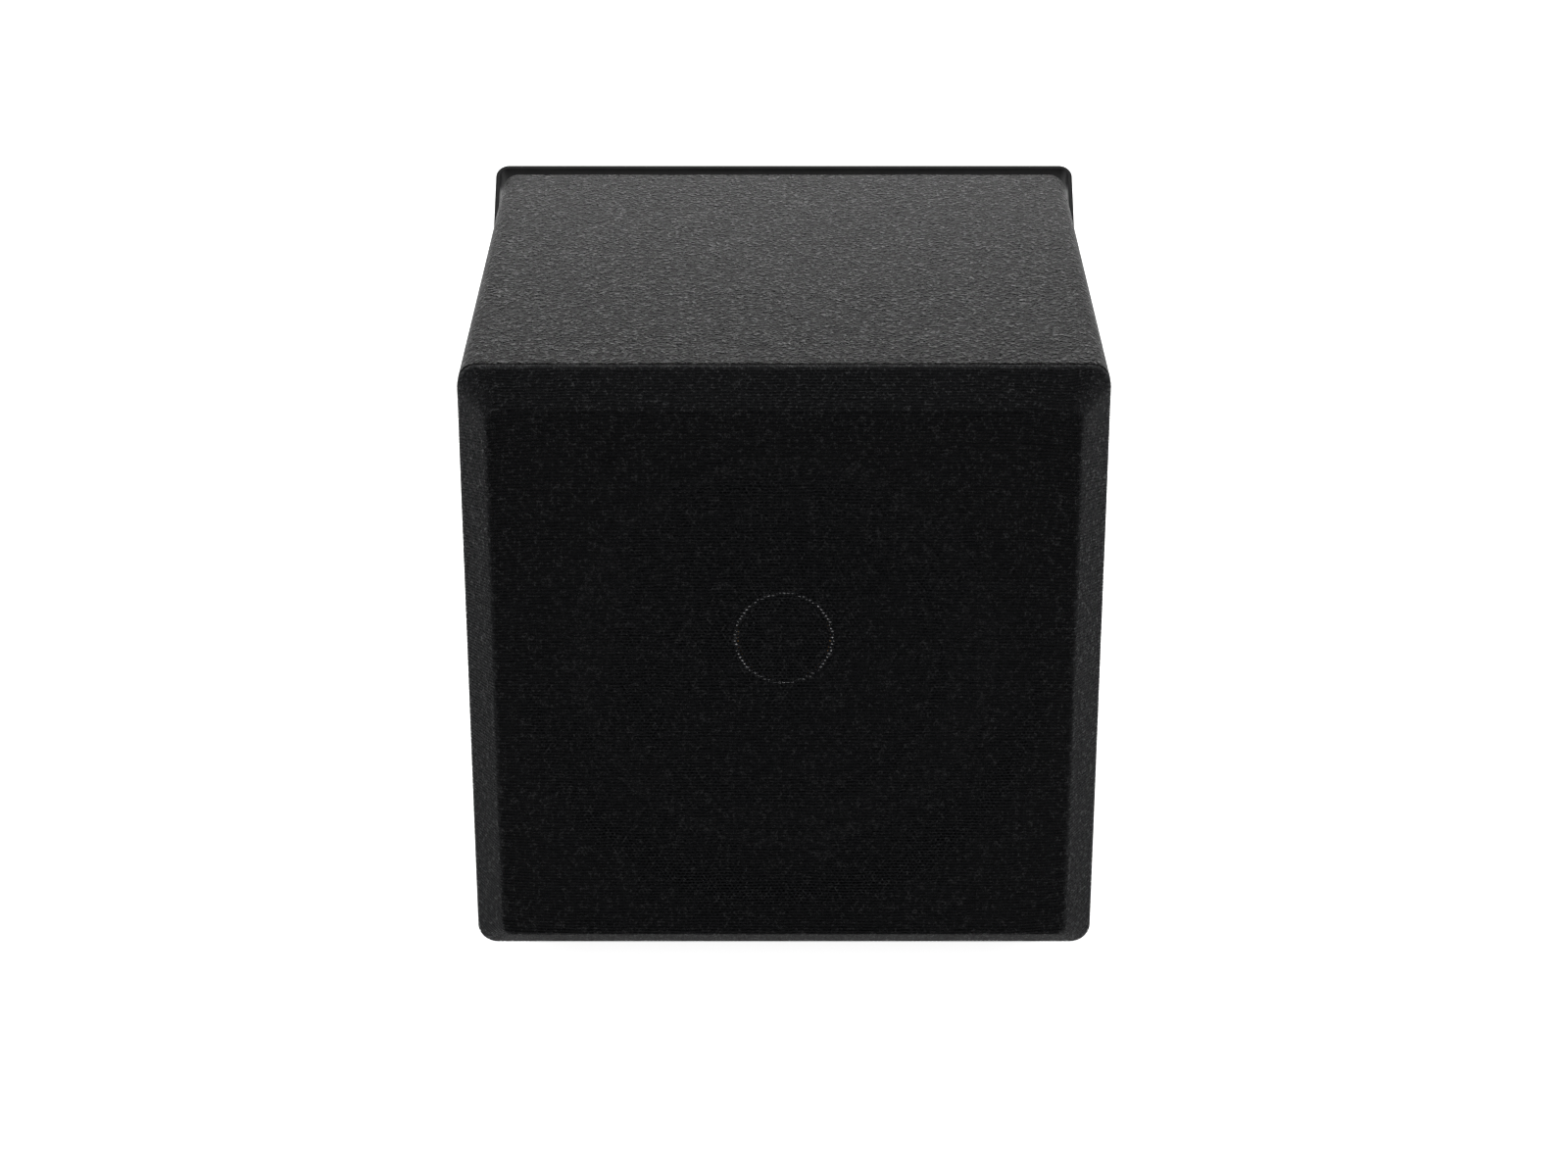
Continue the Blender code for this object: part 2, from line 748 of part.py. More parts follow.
def make_suspension():
    roll = []
    inner, outer = 0.0945, 0.1160
    foot_depth, lip_depth = 0.0086, 0.0025
    for i in range(6):
        share = i / 5
        radius = (inner + outer) / 2 - (outer - inner) / 2 * math.cos(math.pi * share)
        base = foot_depth + (lip_depth - foot_depth) * share
        roll.append((radius, base - 0.0105 * math.sin(math.pi * share)))
    line = [(CONE_RADIUS - 0.0030, foot_depth), *roll, (0.1215, lip_depth)]
    turned("driver_surround", thickened(line, 0.0007), FINE, RUBBER, DRIVER_PLACE)
    spider = [*wave(FORMER_RADIUS + GAP, 0.0610, 0.0581, 0.0014, 2, 4), (0.0745, 0.0581)]
    turned("driver_spider", thickened(spider, 0.0005), MEDIUM, SPIDER_CLOTH, DRIVER_PLACE)
    tube("driver_gasket", 0.1165, 0.1215, 0.0004, 0.0022, FINE, RUBBER, DRIVER_PLACE)


# Grille


def grille_rings(inset):
    """The grille's outside from its back edge to its flat face, moved in by the inset."""
    run = GRILLE_CHAMFER_WIDTH
    rise = GRILLE_DEPTH - GRILLE_STRAIGHT
    slope = math.hypot(run, rise)
    side = HALF_WIDTH - inset
    face = FRONT_Y - GRILLE_DEPTH + inset
    side_end = FRONT_Y - GRILLE_STRAIGHT + inset * (slope - rise) / run
    face_half = HALF_WIDTH - run - inset * (slope - run) / rise
    return [
        (rounded_outline(side, GRILLE_CORNER_RADIUS - inset), side_end),
        (rounded_outline(face_half, GRILLE_FACE_RADIUS - inset), face),
    ]


def make_grille(pivot):
    board_inset = CLOTH + GAP
    back_inset = GRILLE_STANDOFF + CLOTH + GAP
    side_outline = rounded_outline(HALF_WIDTH - board_inset, GRILLE_CORNER_RADIUS - board_inset)
    rings = [(side_outline, FRONT_Y - back_inset), *grille_rings(board_inset)]
    board = add_object(
        "grille_board", loft("grille_board", rings), GRILLE_FRAME, (0, 0, CENTRE_Z), parent=pivot
    )
    opening = (0, FRONT_Y - GRILLE_DEPTH / 2, CENTRE_Z)
    cut(board, cylinder_cutter("grille_opening", GRILLE_OPENING_RADIUS, 0.08, FINE, opening))

    lip_half = HALF_WIDTH - CLOTH_LIP
    cloth_rings = [
        (rounded_outline(lip_half, GRILLE_FACE_RADIUS), FRONT_Y - GRILLE_STANDOFF),
        (rounded_outline(HALF_WIDTH, GRILLE_CORNER_RADIUS), FRONT_Y - GRILLE_STANDOFF),
        *grille_rings(0),
    ]
    mesh = loft("grille_cloth", cloth_rings, first_cap=False)
    cloth = add_object("grille_cloth", mesh, GRILLE_CLOTH, (0, 0, CENTRE_Z), parent=pivot)
    solidify = cloth.modifiers.new("cloth", "SOLIDIFY")
    solidify.thickness = CLOTH
    solidify.offset = -1
    solidify.use_even_offset = True

    peg_start = -back_inset + GAP
    peg = [
        (0, peg_start),
        (PEG_RADIUS + 0.002, peg_start),
        (PEG_RADIUS + 0.002, peg_start + 0.0009),
        (PEG_RADIUS, peg_start + 0.0009),
        (PEG_RADIUS, peg_start + PEG_LENGTH - 0.0015),
        (PEG_RADIUS - 0.0015, peg_start + PEG_LENGTH),
        (0, peg_start + PEG_LENGTH),
    ]
    for i, (x, z) in enumerate(corner_positions(PEG_OFFSET)):
        turned(f"grille_peg_{i + 1}", peg, SMALL, BLACK_PLASTIC, (x, FRONT_Y, z), parent=pivot)


def make_grille_sockets():
    bore = PEG_RADIUS + 0.0005
    front = PANEL_SKIN
    floor = front + SOCKET_LENGTH - 0.0015
    socket = [
        (0, floor),
        (bore, floor),
        (bore, front),
        (SOCKET_RADIUS, front),
        (SOCKET_RADIUS, front + SOCKET_LENGTH),
        (0, front + SOCKET_LENGTH),
    ]
    for i, (x, z) in enumerate(corner_positions(PEG_OFFSET)):
        turned(f"grille_socket_{i + 1}", socket, SMALL, BLACK_PLASTIC, (x, FRONT_Y, z))


# Bracket


def bend_to_bracket(length, offset, half_span, reach, bend):
    """The place of a point of the flat strip once its two ends are bent back into arms.

    Length runs along the strip from its middle, and offset is how far the point lies outside
    the strip's inner face.
    """
    straight = half_span - bend
    arc = bend * math.pi / 2
    side = math.copysign(1, length)
    along = abs(length)
    if along <= straight:
        return side * along, reach + offset
    if along <= straight + arc:
        angle = (along - straight) / bend
        radius = bend + offset
        return side * (straight + radius * math.sin(angle)), reach - bend + radius * math.cos(angle)
    return side * (half_span + offset), reach - bend - (along - straight - arc)


def make_bracket(pivot):
    half_width = BRACKET_WIDTH / 2
    straight = BRACKET_INNER - BRACKET_BEND
    arc = BRACKET_BEND * math.pi / 2
    half_length = straight + arc + BRACKET_REACH - BRACKET_BEND + half_width
    bm = bmesh.new()
    bmesh.ops.create_cube(bm, size=1)
    bmesh.ops.scale(bm, vec=(half_length * 2, BRACKET_STEEL, BRACKET_WIDTH), verts=bm.verts)
    corners = [e for e in bm.edges if abs(e.verts[0].co.y - e.verts[1].co.y) > BRACKET_STEEL / 2]
    bmesh.ops.bevel(
        bm, geom=corners, offset=half_width * 0.96, segments=7, profile=0.5, affect="EDGES"
    )
    bend_steps = 5
    for side in (-1, 1):
        for step in range(bend_steps + 1):
            place = side * (straight + arc * step / bend_steps)
            geometry = bm.verts[:] + bm.edges[:] + bm.faces[:]
            bmesh.ops.bisect_plane(bm, geom=geometry, plane_co=(place, 0, 0), plane_no=(1, 0, 0))
    for vert in bm.verts:
        offset = vert.co.y + BRACKET_STEEL / 2
        x, y = bend_to_bracket(vert.co.x, offset, BRACKET_INNER, BRACKET_REACH, BRACKET_BEND)
        vert.co = (x, y, vert.co.z)
    place = (0, PIVOT_Y, CENTRE_Z)
    tilt = (BRACKET_TILT, 0, 0)
    mesh = mesh_from("bracket", bm)
    shade_round(mesh)
    bracket = add_object("bracket", mesh, BRACKET_PAINT, place, tilt, pivot)
    stud_hole = cylinder_cutter(
        "bracket_stud_holes", STUD_RADIUS + 0.0005, 0.45, COARSE, place, FACING_RIGHT, pivot
    )
    cut(bracket, stud_hole)
    for i in (-1, 0, 1):
        hole_place = (
            i * BRACKET_HOLE_SPACING,
            PIVOT_Y + BRACKET_REACH * math.cos(BRACKET_TILT),
            CENTRE_Z + BRACKET_REACH * math.sin(BRACKET_TILT),
        )
        name = f"bracket_screw_hole_{i + 2}"
        facing = (BRACKET_TILT - math.pi / 2, 0, 0)
        cut(bracket, cylinder_cutter(name, BRACKET_HOLE_RADIUS, 0.03, COARSE, hole_place, facing, pivot))


def lobed_outline(radius, wave_height, points=40, lobes=8):
    outline = []
    for i in range(points):
        angle = 2 * math.pi * i / points
        reach = radius + wave_height * math.cos(lobes * angle)
        outline.append((reach * math.cos(angle), reach * math.sin(angle)))
    return outline


def make_clamp(side, name, facing):
    """A star knob with its threaded stud, the rubber washer and the insert it screws into."""
    pivot = add_pivot(f"clamp_knob_{name}_axis", (side * HALF_WIDTH, PIVOT_Y, CENTRE_Z))
    seat = BRACKET_OUTER - HALF_WIDTH + GAP
    top = seat + KNOB_HEIGHT
    stud_end = -0.0145
    rings = [
        (lobed_outline(KNOB_RADIUS - 0.0045, 0.0003), top),
        (lobed_outline(KNOB_RADIUS - 0.0018, 0.0008), top - 0.0010),
        (lobed_outline(KNOB_RADIUS - 0.0010, 0.0010), top - 0.0030),
        (lobed_outline(KNOB_RADIUS - 0.0010, 0.0010), seat + 0.0020),
        (lobed_outline(KNOB_RADIUS - 0.0040, 0.0003), seat),
        (lobed_outline(STUD_RADIUS, 0), seat),
        (lobed_outline(STUD_RADIUS, 0), stud_end),
    ]
    mesh = loft(f"clamp_knob_{name}", rings)
    shade_round(mesh)
    place = (side * HALF_WIDTH, PIVOT_Y, CENTRE_Z)
    turn = (0, 0, -side * math.pi / 2)
    add_object(f"clamp_knob_{name}", mesh, BLACK_PLASTIC, place, turn, pivot)
    hole = STUD_RADIUS + 0.0005
    tube(f"bracket_washer_{name}", hole, 0.012, GAP, GAP + WASHER, COARSE, RUBBER, place, facing)
    tube(
        f"threaded_insert_{name}",
        hole,
        INSERT_RADIUS,
        -INSERT_LENGTH - PANEL_SKIN,
        -PANEL_SKIN,
        COARSE,
        BRASS,
        place,
        facing,
    )


def main():
    make_horizontal_panel("top_panel", TOP_Z - PANEL, 1)
    make_horizontal_panel("bottom_panel", BOTTOM_Z, -1)
    make_side_panel("left_panel", -1)
    make_side_panel("right_panel", 1)
    make_front_baffle()
    make_back_panel()
    make_cross_brace()
    make_wadding()
    make_feet()
    make_port()
    make_terminal_cup()
    make_binding_posts()
    make_crossover()
    make_driver_leads()
    make_basket()
    make_driver_screws()
    make_motor()
    make_moving_parts(add_pivot("cone_axis", DRIVER_PLACE))
    make_suspension()
    make_grille(add_pivot("grille_slide", (0, FRONT_Y, CENTRE_Z)))
    make_grille_sockets()
    make_bracket(add_pivot("bracket_pivot", (0, PIVOT_Y, CENTRE_Z)))
    make_clamp(-1, "left", FACING_LEFT)
    make_clamp(1, "right", FACING_RIGHT)


main()
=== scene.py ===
import json
import math

import bmesh
import bpy
from mathutils import Matrix, Vector


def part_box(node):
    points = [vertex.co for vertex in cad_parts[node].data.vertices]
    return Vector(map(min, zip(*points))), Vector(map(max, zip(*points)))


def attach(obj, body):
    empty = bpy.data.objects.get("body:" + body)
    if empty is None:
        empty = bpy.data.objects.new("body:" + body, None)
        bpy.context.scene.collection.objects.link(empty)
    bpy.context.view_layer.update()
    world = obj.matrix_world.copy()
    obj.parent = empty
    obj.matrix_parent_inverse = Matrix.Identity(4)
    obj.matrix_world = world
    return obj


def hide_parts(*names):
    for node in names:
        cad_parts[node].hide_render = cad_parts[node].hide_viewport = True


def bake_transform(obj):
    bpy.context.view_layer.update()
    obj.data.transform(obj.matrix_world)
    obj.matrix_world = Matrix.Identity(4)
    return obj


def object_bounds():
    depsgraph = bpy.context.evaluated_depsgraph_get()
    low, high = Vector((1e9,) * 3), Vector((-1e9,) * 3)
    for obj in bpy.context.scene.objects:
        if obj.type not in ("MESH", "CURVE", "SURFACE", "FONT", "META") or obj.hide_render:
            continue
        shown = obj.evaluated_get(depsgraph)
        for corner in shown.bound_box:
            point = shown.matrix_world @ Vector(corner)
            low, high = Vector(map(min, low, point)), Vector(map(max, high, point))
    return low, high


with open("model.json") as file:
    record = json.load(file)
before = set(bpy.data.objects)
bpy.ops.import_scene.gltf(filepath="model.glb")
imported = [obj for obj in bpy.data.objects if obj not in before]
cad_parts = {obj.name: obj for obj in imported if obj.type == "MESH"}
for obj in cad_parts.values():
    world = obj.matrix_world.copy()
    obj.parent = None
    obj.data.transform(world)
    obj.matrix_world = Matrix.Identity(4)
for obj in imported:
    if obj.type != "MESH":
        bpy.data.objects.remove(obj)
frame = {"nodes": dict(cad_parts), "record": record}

CAD_BOX = [list(corner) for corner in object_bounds()]

# Places read from the frame, in metres
CLOTH_LOW, CLOTH_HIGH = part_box("grille_cloth")
TOP_LOW, TOP_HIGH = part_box("top_panel")
BOTTOM_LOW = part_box("bottom_panel")[0]
BACK_LOW, BACK_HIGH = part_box("back_panel")
BOARD_LOW, BOARD_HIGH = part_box("grille_board")
JOINTS = {joint["name"]: joint for joint in frame["record"]["behaviour"]["joints"]}

HALF_WIDTH = TOP_HIGH[0]
FRONT_Y = TOP_LOW[1]
CENTRE_Z = (TOP_HIGH[2] + BOTTOM_LOW[2]) / 2
PANEL = TOP_HIGH[2] - TOP_LOW[2]
PIVOT = Vector(JOINTS["bracket_swing"]["pos_m"])
BACK_FACE_Y = BACK_HIGH[1]

# Sizes in metres
GAP = 0.0003
EDGE_RADIUS = 0.011
GRILLE_STRAIGHT = 0.0075
GRILLE_CHAMFER = 0.018
GRILLE_CORNER = 0.012
GRILLE_FACE_CORNER = 0.006

# Light from the surroundings and the floor
STUDIO_GLOW = 0.6
FLOOR_BOUNCE = 0.2

# Sides on a turned piece
FINE_STEPS = 128
MEDIUM_STEPS = 64

# Turns that point a piece's own Z axis the named way
FACING_BACK = Matrix.Rotation(-math.pi / 2, 4, "X")
FACING_RIGHT = Matrix.Rotation(math.pi / 2, 4, "Y")
FACING_LEFT = Matrix.Rotation(-math.pi / 2, 4, "Y")
FACING_UP = Matrix.Identity(4)


def add_object(name, data):
    obj = bpy.data.objects.new(name, data)
    bpy.context.scene.collection.objects.link(obj)
    return obj


# Camera, floor and light


def add_camera():
    """A long lens straight in front of the grille and above it."""
    aim = Vector((0, FRONT_Y - GRILLE_STRAIGHT, BOTTOM_LOW[2]))
    distance, height = 1.948, 1.1067
    pitch = math.radians(23.89)
    camera = bpy.data.cameras.new("camera")
    camera.lens = 81.2
    camera.sensor_width = 36
    camera.clip_start = 0.05
    camera.clip_end = 50
    holder = add_object("camera", camera)
    place = Matrix.Translation(aim + Vector((0, -distance, height)))
    holder.matrix_world = place @ Matrix.Rotation(math.pi / 2 - pitch, 4, "X")
    bpy.context.scene.camera = holder


def node(tree, kind, sockets=None, **settings):
    """Add a shader node, with each socket set to a value or linked from another node's output."""
    made = tree.nodes.new("ShaderNode" + kind)
    for name, value in settings.items():
        setattr(made, name, value)
    for name, value in (sockets or {}).items():
        if isinstance(value, bpy.types.NodeSocket):
            tree.links.new(value, made.inputs[name])
        else:
            made.inputs[name].default_value = value
    return made


def math_node(tree, operation, *values):
    return node(tree, "Math", dict(enumerate(values)), operation=operation).outputs[0]


def vector_node(tree, operation, *values):
    return node(tree, "VectorMath", dict(enumerate(values)), operation=operation).outputs[0]


def add_floor():
    """A floor that looks near white but lights the object's underside only a little."""
    bm = bmesh.new()
    bmesh.ops.create_grid(bm, x_segments=1, y_segments=1, size=15)
    mesh = bpy.data.meshes.new("floor")
    bm.to_mesh(mesh)
    bm.free()
    floor = add_object("floor", mesh)
    floor.location.z = CAD_BOX[0][2]
    material = bpy.data.materials.new("floor")
    material.use_nodes = True
    tree = material.node_tree
    shader = tree.nodes["Principled BSDF"]
    rays = tree.nodes.new("ShaderNodeLightPath").outputs
    seen = math_node(tree, "MAXIMUM", rays["Is Camera Ray"], rays["Is Glossy Ray"])
    drive(tree, shader, "Base Color", seen, (0.0, FLOOR_BOUNCE), (1.0, 0.8))
    shader.inputs["Roughness"].default_value = 0.9
    shader.inputs["Specular IOR Level"].default_value = 0.0
    shader.inputs["Emission Color"].default_value = (1, 1, 1, 1)
    glow = math_node(tree, "MULTIPLY", seen, 0.9)
    tree.links.new(glow, shader.inputs["Emission Strength"])
    mesh.materials.append(material)


def add_area_light(name, place, aim, size, power):
    """A rectangular lamp shining at the aim."""
    light = bpy.data.lights.new(name, "AREA")
    light.shape = "RECTANGLE"
    light.size, light.size_y = size
    light.energy = power
    holder = add_object(name, light)
    holder.location = place
    holder.rotation_euler = (Vector(aim) - Vector(place)).to_track_quat("-Z", "Y").to_euler()


def add_light():
    """White surroundings, a low strip behind, a soft lamp above and one at each side."""
    world = bpy.data.worlds.new("studio")
    bpy.context.scene.world = world
    world.use_nodes = True
    tree = world.node_tree
    background = tree.nodes["Background"]
    background.inputs["Color"].default_value = (1, 1, 1, 1)
    seen = tree.nodes.new("ShaderNodeLightPath").outputs["Is Camera Ray"]
    strength = math_node(tree, "MULTIPLY_ADD", seen, 1 - STUDIO_GLOW, STUDIO_GLOW)
    tree.links.new(strength, background.inputs["Strength"])
    aim = (0, 0, CENTRE_Z)
    add_area_light("back_light", (0.0, 4.0, 0.55), aim, (3.0, 0.2), 12)
    add_area_light("top_light", (0.0, 0.4, 2.6), aim, (1.0, 1.0), 24)
    add_area_light("left_light", (-2.4, 0.0, 0.5), aim, (0.5, 0.5), 42)
    add_area_light("right_light", (2.4, 0.0, 0.5), aim, (0.5, 0.5), 42)
    bpy.context.scene.view_settings.view_transform = "Standard"


# Mesh helpers


def mesh_from(name, bm, sharp_degrees=35):
    """Finish a bmesh as a smooth mesh whose edges past the angle stay sharp."""
    bmesh.ops.recalc_face_normals(bm, faces=bm.faces)
    mesh = bpy.data.meshes.new(name)
    bm.to_mesh(mesh)
    bm.free()
    mesh.shade_smooth()
    mesh.set_sharp_from_angle(angle=math.radians(sharp_degrees))
    return mesh


def piece(name, mesh, material, body, *nodes):
    """Show a mesh that is already in the frame's place, riding on a body and standing for nodes."""
    obj = add_object(name, mesh)
    mesh.materials.clear()
    mesh.materials.append(material)
    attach(obj, body)
    if nodes:
        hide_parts(*nodes)
    return obj


def rounded(points, radius, steps=4, closed=True):
    """Round each corner of a profile, by one radius or a list of them, as its sides allow."""
    nearly_straight = math.radians(165)
    most_of_side = 0.45
    result = []
    count = len(points)
    radii = radius if isinstance(radius, list) else [radius] * count
    for i, (x, y) in enumerate(points):
        if not closed and i in (0, count - 1):
            result.append((x, y))
            continue
        corner = Vector((x, y))
        before = Vector(points[i - 1]) - corner
        after = Vector(points[(i + 1) % count]) - corner
        angle = before.angle(after)
        if angle > nearly_straight:
            result.append((x, y))
            continue
        longest = min(before.length * most_of_side, after.length * most_of_side)
        reach = min(radii[i] / math.tan(angle / 2), longest)
        start = corner + before.normalized() * reach
        end = corner + after.normalized() * reach
        for step in range(steps + 1):
            t = step / steps
            point = start * (1 - t) ** 2 + corner * 2 * t * (1 - t) + end * t**2
            result.append((point.x, point.y))
    return result


def turned_mesh(name, profile, place, facing=FACING_BACK, steps=MEDIUM_STEPS):
    """Turn (radius, height) points about an axis; a profile that ends on the axis stays open there."""
    bm = bmesh.new()
    on_axis = 0.000001
    columns = []
    for radius, height in profile:
        if radius < on_axis:
            columns.append([bm.verts.new((0, 0, height))] * steps)
            continue
        ring = []
        for i in range(steps):
            angle = 2 * math.pi * i / steps
            ring.append(bm.verts.new((radius * math.cos(angle), radius * math.sin(angle), height)))
        columns.append(ring)
    pairs = list(zip(columns, columns[1:]))
    if profile[0][0] > on_axis:
        pairs.append((columns[-1], columns[0]))
    for first, second in pairs:
        for i in range(steps):
            j = (i + 1) % steps
            corners = [first[i], first[j], second[j], second[i]]
            bm.faces.new([v for k, v in enumerate(corners) if v not in corners[:k]])
    bmesh.ops.transform(bm, matrix=Matrix.Translation(place) @ facing, verts=bm.verts)
    return mesh_from(name, bm)


def outline(half, radius, corner_steps=10, side_steps=1):
    """The points of a rounded square, anticlockwise in X and Z from its right side's upper end."""
    arcs = []
    for quarter in range(4):
        middle = math.radians(45 + 90 * quarter)
        centre_x = math.copysign(half - radius, math.cos(middle))
        centre_z = math.copysign(half - radius, math.sin(middle))
        arc = []
        for step in range(corner_steps + 1):
            angle = math.radians(90 * (quarter + step / corner_steps))
            x = centre_x + radius * math.cos(angle)
            arc.append(Vector((x, centre_z + radius * math.sin(angle))))
        arcs.append(arc)
    points = []
    for arc, following in zip(arcs, arcs[1:] + arcs[:1]):
        points += arc
        for step in range(1, side_steps):
            points.append(arc[-1].lerp(following[0], step / side_steps))
    return points


def bridge(bm, loops):
    """Join each loop of points to the next one with a band of faces."""
    for lower, upper in zip(loops, loops[1:]):
        for i, vert in enumerate(lower):
            j = (i + 1) % len(lower)
            bm.faces.new((vert, lower[j], upper[j], upper[i]))


def lofted(name, rings, matrix, sharp_degrees=35, capped=True):
    """Join rings of (outline, y) into a surface, capped flat or else closed end to end."""
    bm = bmesh.new()
    loops = [[bm.verts.new((p[0], y, p[1])) for p in points] for points, y in rings]
    bridge(bm, loops)
    if capped:
        bm.faces.new(loops[0])
        bm.faces.new(loops[-1])
    else:
        bmesh.ops.remove_doubles(bm, verts=bm.verts, dist=0.000001)
    bmesh.ops.transform(bm, matrix=matrix, verts=bm.verts)
    return mesh_from(name, bm, sharp_degrees)


def sliced(bm, place, normal):
    """Add an edge all round the shape where a plane crosses it."""
    geometry = bm.verts[:] + bm.edges[:] + bm.faces[:]
    bmesh.ops.bisect_plane(bm, geom=geometry, plane_co=place, plane_no=normal)


def cylinder(radius, length, place, facing, steps=MEDIUM_STEPS):
    """A plain cylinder about its own middle, for cutting holes."""
    bm = bmesh.new()
    bmesh.ops.create_cone(
        bm, cap_ends=True, segments=steps, radius1=radius, radius2=radius, depth=length
    )
    bmesh.ops.transform(bm, matrix=Matrix.Translation(place) @ facing, verts=bm.verts)
    return mesh_from("cutter", bm)


def carved(mesh, cutters):
    """The mesh with the cutters' shapes taken out of it."""
    target = add_object("carving", mesh)
    tools = [add_object("carving_tool", cutter) for cutter in cutters]
    for tool in tools:
        boolean = target.modifiers.new("cut", "BOOLEAN")
        boolean.object = tool
        boolean.solver = "EXACT"
    bpy.context.view_layer.update()
    depsgraph = bpy.context.evaluated_depsgraph_get()
    result = bpy.data.meshes.new_from_object(target.evaluated_get(depsgraph))
    for obj in (target, *tools):
        bpy.data.objects.remove(obj, do_unlink=True)
    result.shade_smooth()
    result.set_sharp_from_angle(angle=math.radians(35))
    return result


# Materials


def new_material(name, roughness=0.5, metallic=0.0, specular=0.5):
    """A node material that names its slot, with its tree, shader and the object's coordinates."""
    material = bpy.data.materials.new(name)
    material["slot"] = name
    material.use_nodes = True
    tree = material.node_tree
    shader = tree.nodes["Principled BSDF"]
    shader.inputs["Roughness"].default_value = roughness
    shader.inputs["Metallic"].default_value = metallic
    shader.inputs["Specular IOR Level"].default_value = specular
    coords = tree.nodes.new("ShaderNodeTexCoord").outputs["Object"]
    return material, tree, shader, coords


def noise(tree, coords, scale, detail=2.0, roughness=0.5, distortion=0.0):
    settings = {
        "Vector": coords,
        "Scale": scale,
        "Detail": detail,
        "Roughness": roughness,
        "Distortion": distortion,
    }
    return node(tree, "TexNoise", settings).outputs["Fac"]


def ramp(tree, value, *stops):
    """A colour ramp; each stop is (position, colour or grey)."""
    made = node(tree, "ValToRGB", {"Fac": value})
    elements = made.color_ramp.elements
    while len(elements) < len(stops):
        elements.new(0.5)
    for element, (position, color) in zip(elements, stops):
        rgb = color if isinstance(color, tuple) else (color, color, color)
        element.position = position
        element.color = (*rgb, 1)
    return made.outputs["Color"]


def drive(tree, shader, socket, value, *stops):
    """Let a value set one of the shader's sockets through a ramp."""
    tree.links.new(ramp(tree, value, *stops), shader.inputs[socket])


def bump(tree, shader, height, distance):
    relief = node(tree, "Bump", {"Height": height, "Distance": distance})
    tree.links.new(relief.outputs["Normal"], shader.inputs["Normal"])


def cabinet_paint():
    """Structured dark paint: small rounded grains packed close, with painted shade in the hollows
    between them and painted highlight on their crowns.
    """
    material, tree, shader, coords = new_material("cabinet_paint", specular=0.10)
    drift = node(tree, "TexNoise", {"Vector": coords, "Scale": 180, "Detail": 2}).outputs["Color"]
    shift = vector_node(tree, "MULTIPLY", drift, (0.010, 0.010, 0.010))
    bent = vector_node(tree, "ADD", coords, shift)
    cells = node(tree, "TexVoronoi", {"Vector": bent, "Scale": 290}, feature="F1").outputs
    dome = ramp(tree, cells["Distance"], (0.05, 1.0), (0.60, 0.0))
    tall = ramp(tree, cells["Color"], (0.00, 0.4), (0.85, 1.0))
    grain = noise(tree, coords, 520, 2, 0.6)
    grains = math_node(tree, "MULTIPLY", dome, tall)
    height = math_node(tree, "MULTIPLY_ADD", grain, 0.5, grains)
    # Painted shade and highlight: the base colour darkens in the hollows between grains and lightens on
    # their crowns, following the bump's height.
    hollow, slope, painted_highlight_crown = (0.007, 0.007, 0.0071), (0.014, 0.014, 0.0143), (0.036, 0.036, 0.0367)
    drive(tree, shader, "Base Color", height, (0.35, hollow), (0.60, slope), (1.10, painted_highlight_crown))
    drive(tree, shader, "Roughness", grain, (0.3, 0.26), (0.7, 0.36))
    drive(tree, shader, "Specular IOR Level", height, (0.52, 0.016), (1.10, 0.11))
    bump(tree, shader, height, 0.007)
    return material


def satin_paint(name, color, roughness=0.42, scale=900, distance=0.00006, specular=0.5):
    """Powder coat or moulded plastic: one colour with a fine orange-peel surface."""
    material, tree, shader, coords = new_material(name, specular=specular)
    broad = noise(tree, coords, 35, 3, 0.6)
    darker = tuple(0.78 * c for c in color)
    lighter = tuple(1.22 * c for c in color)
    drive(tree, shader, "Base Color", broad, (0.35, darker), (0.65, lighter))
    drive(tree, shader, "Roughness", broad, (0.3, roughness - 0.06), (0.7, roughness + 0.06))
    bump(tree, shader, noise(tree, coords, scale, 2, 0.5), distance)
    return material


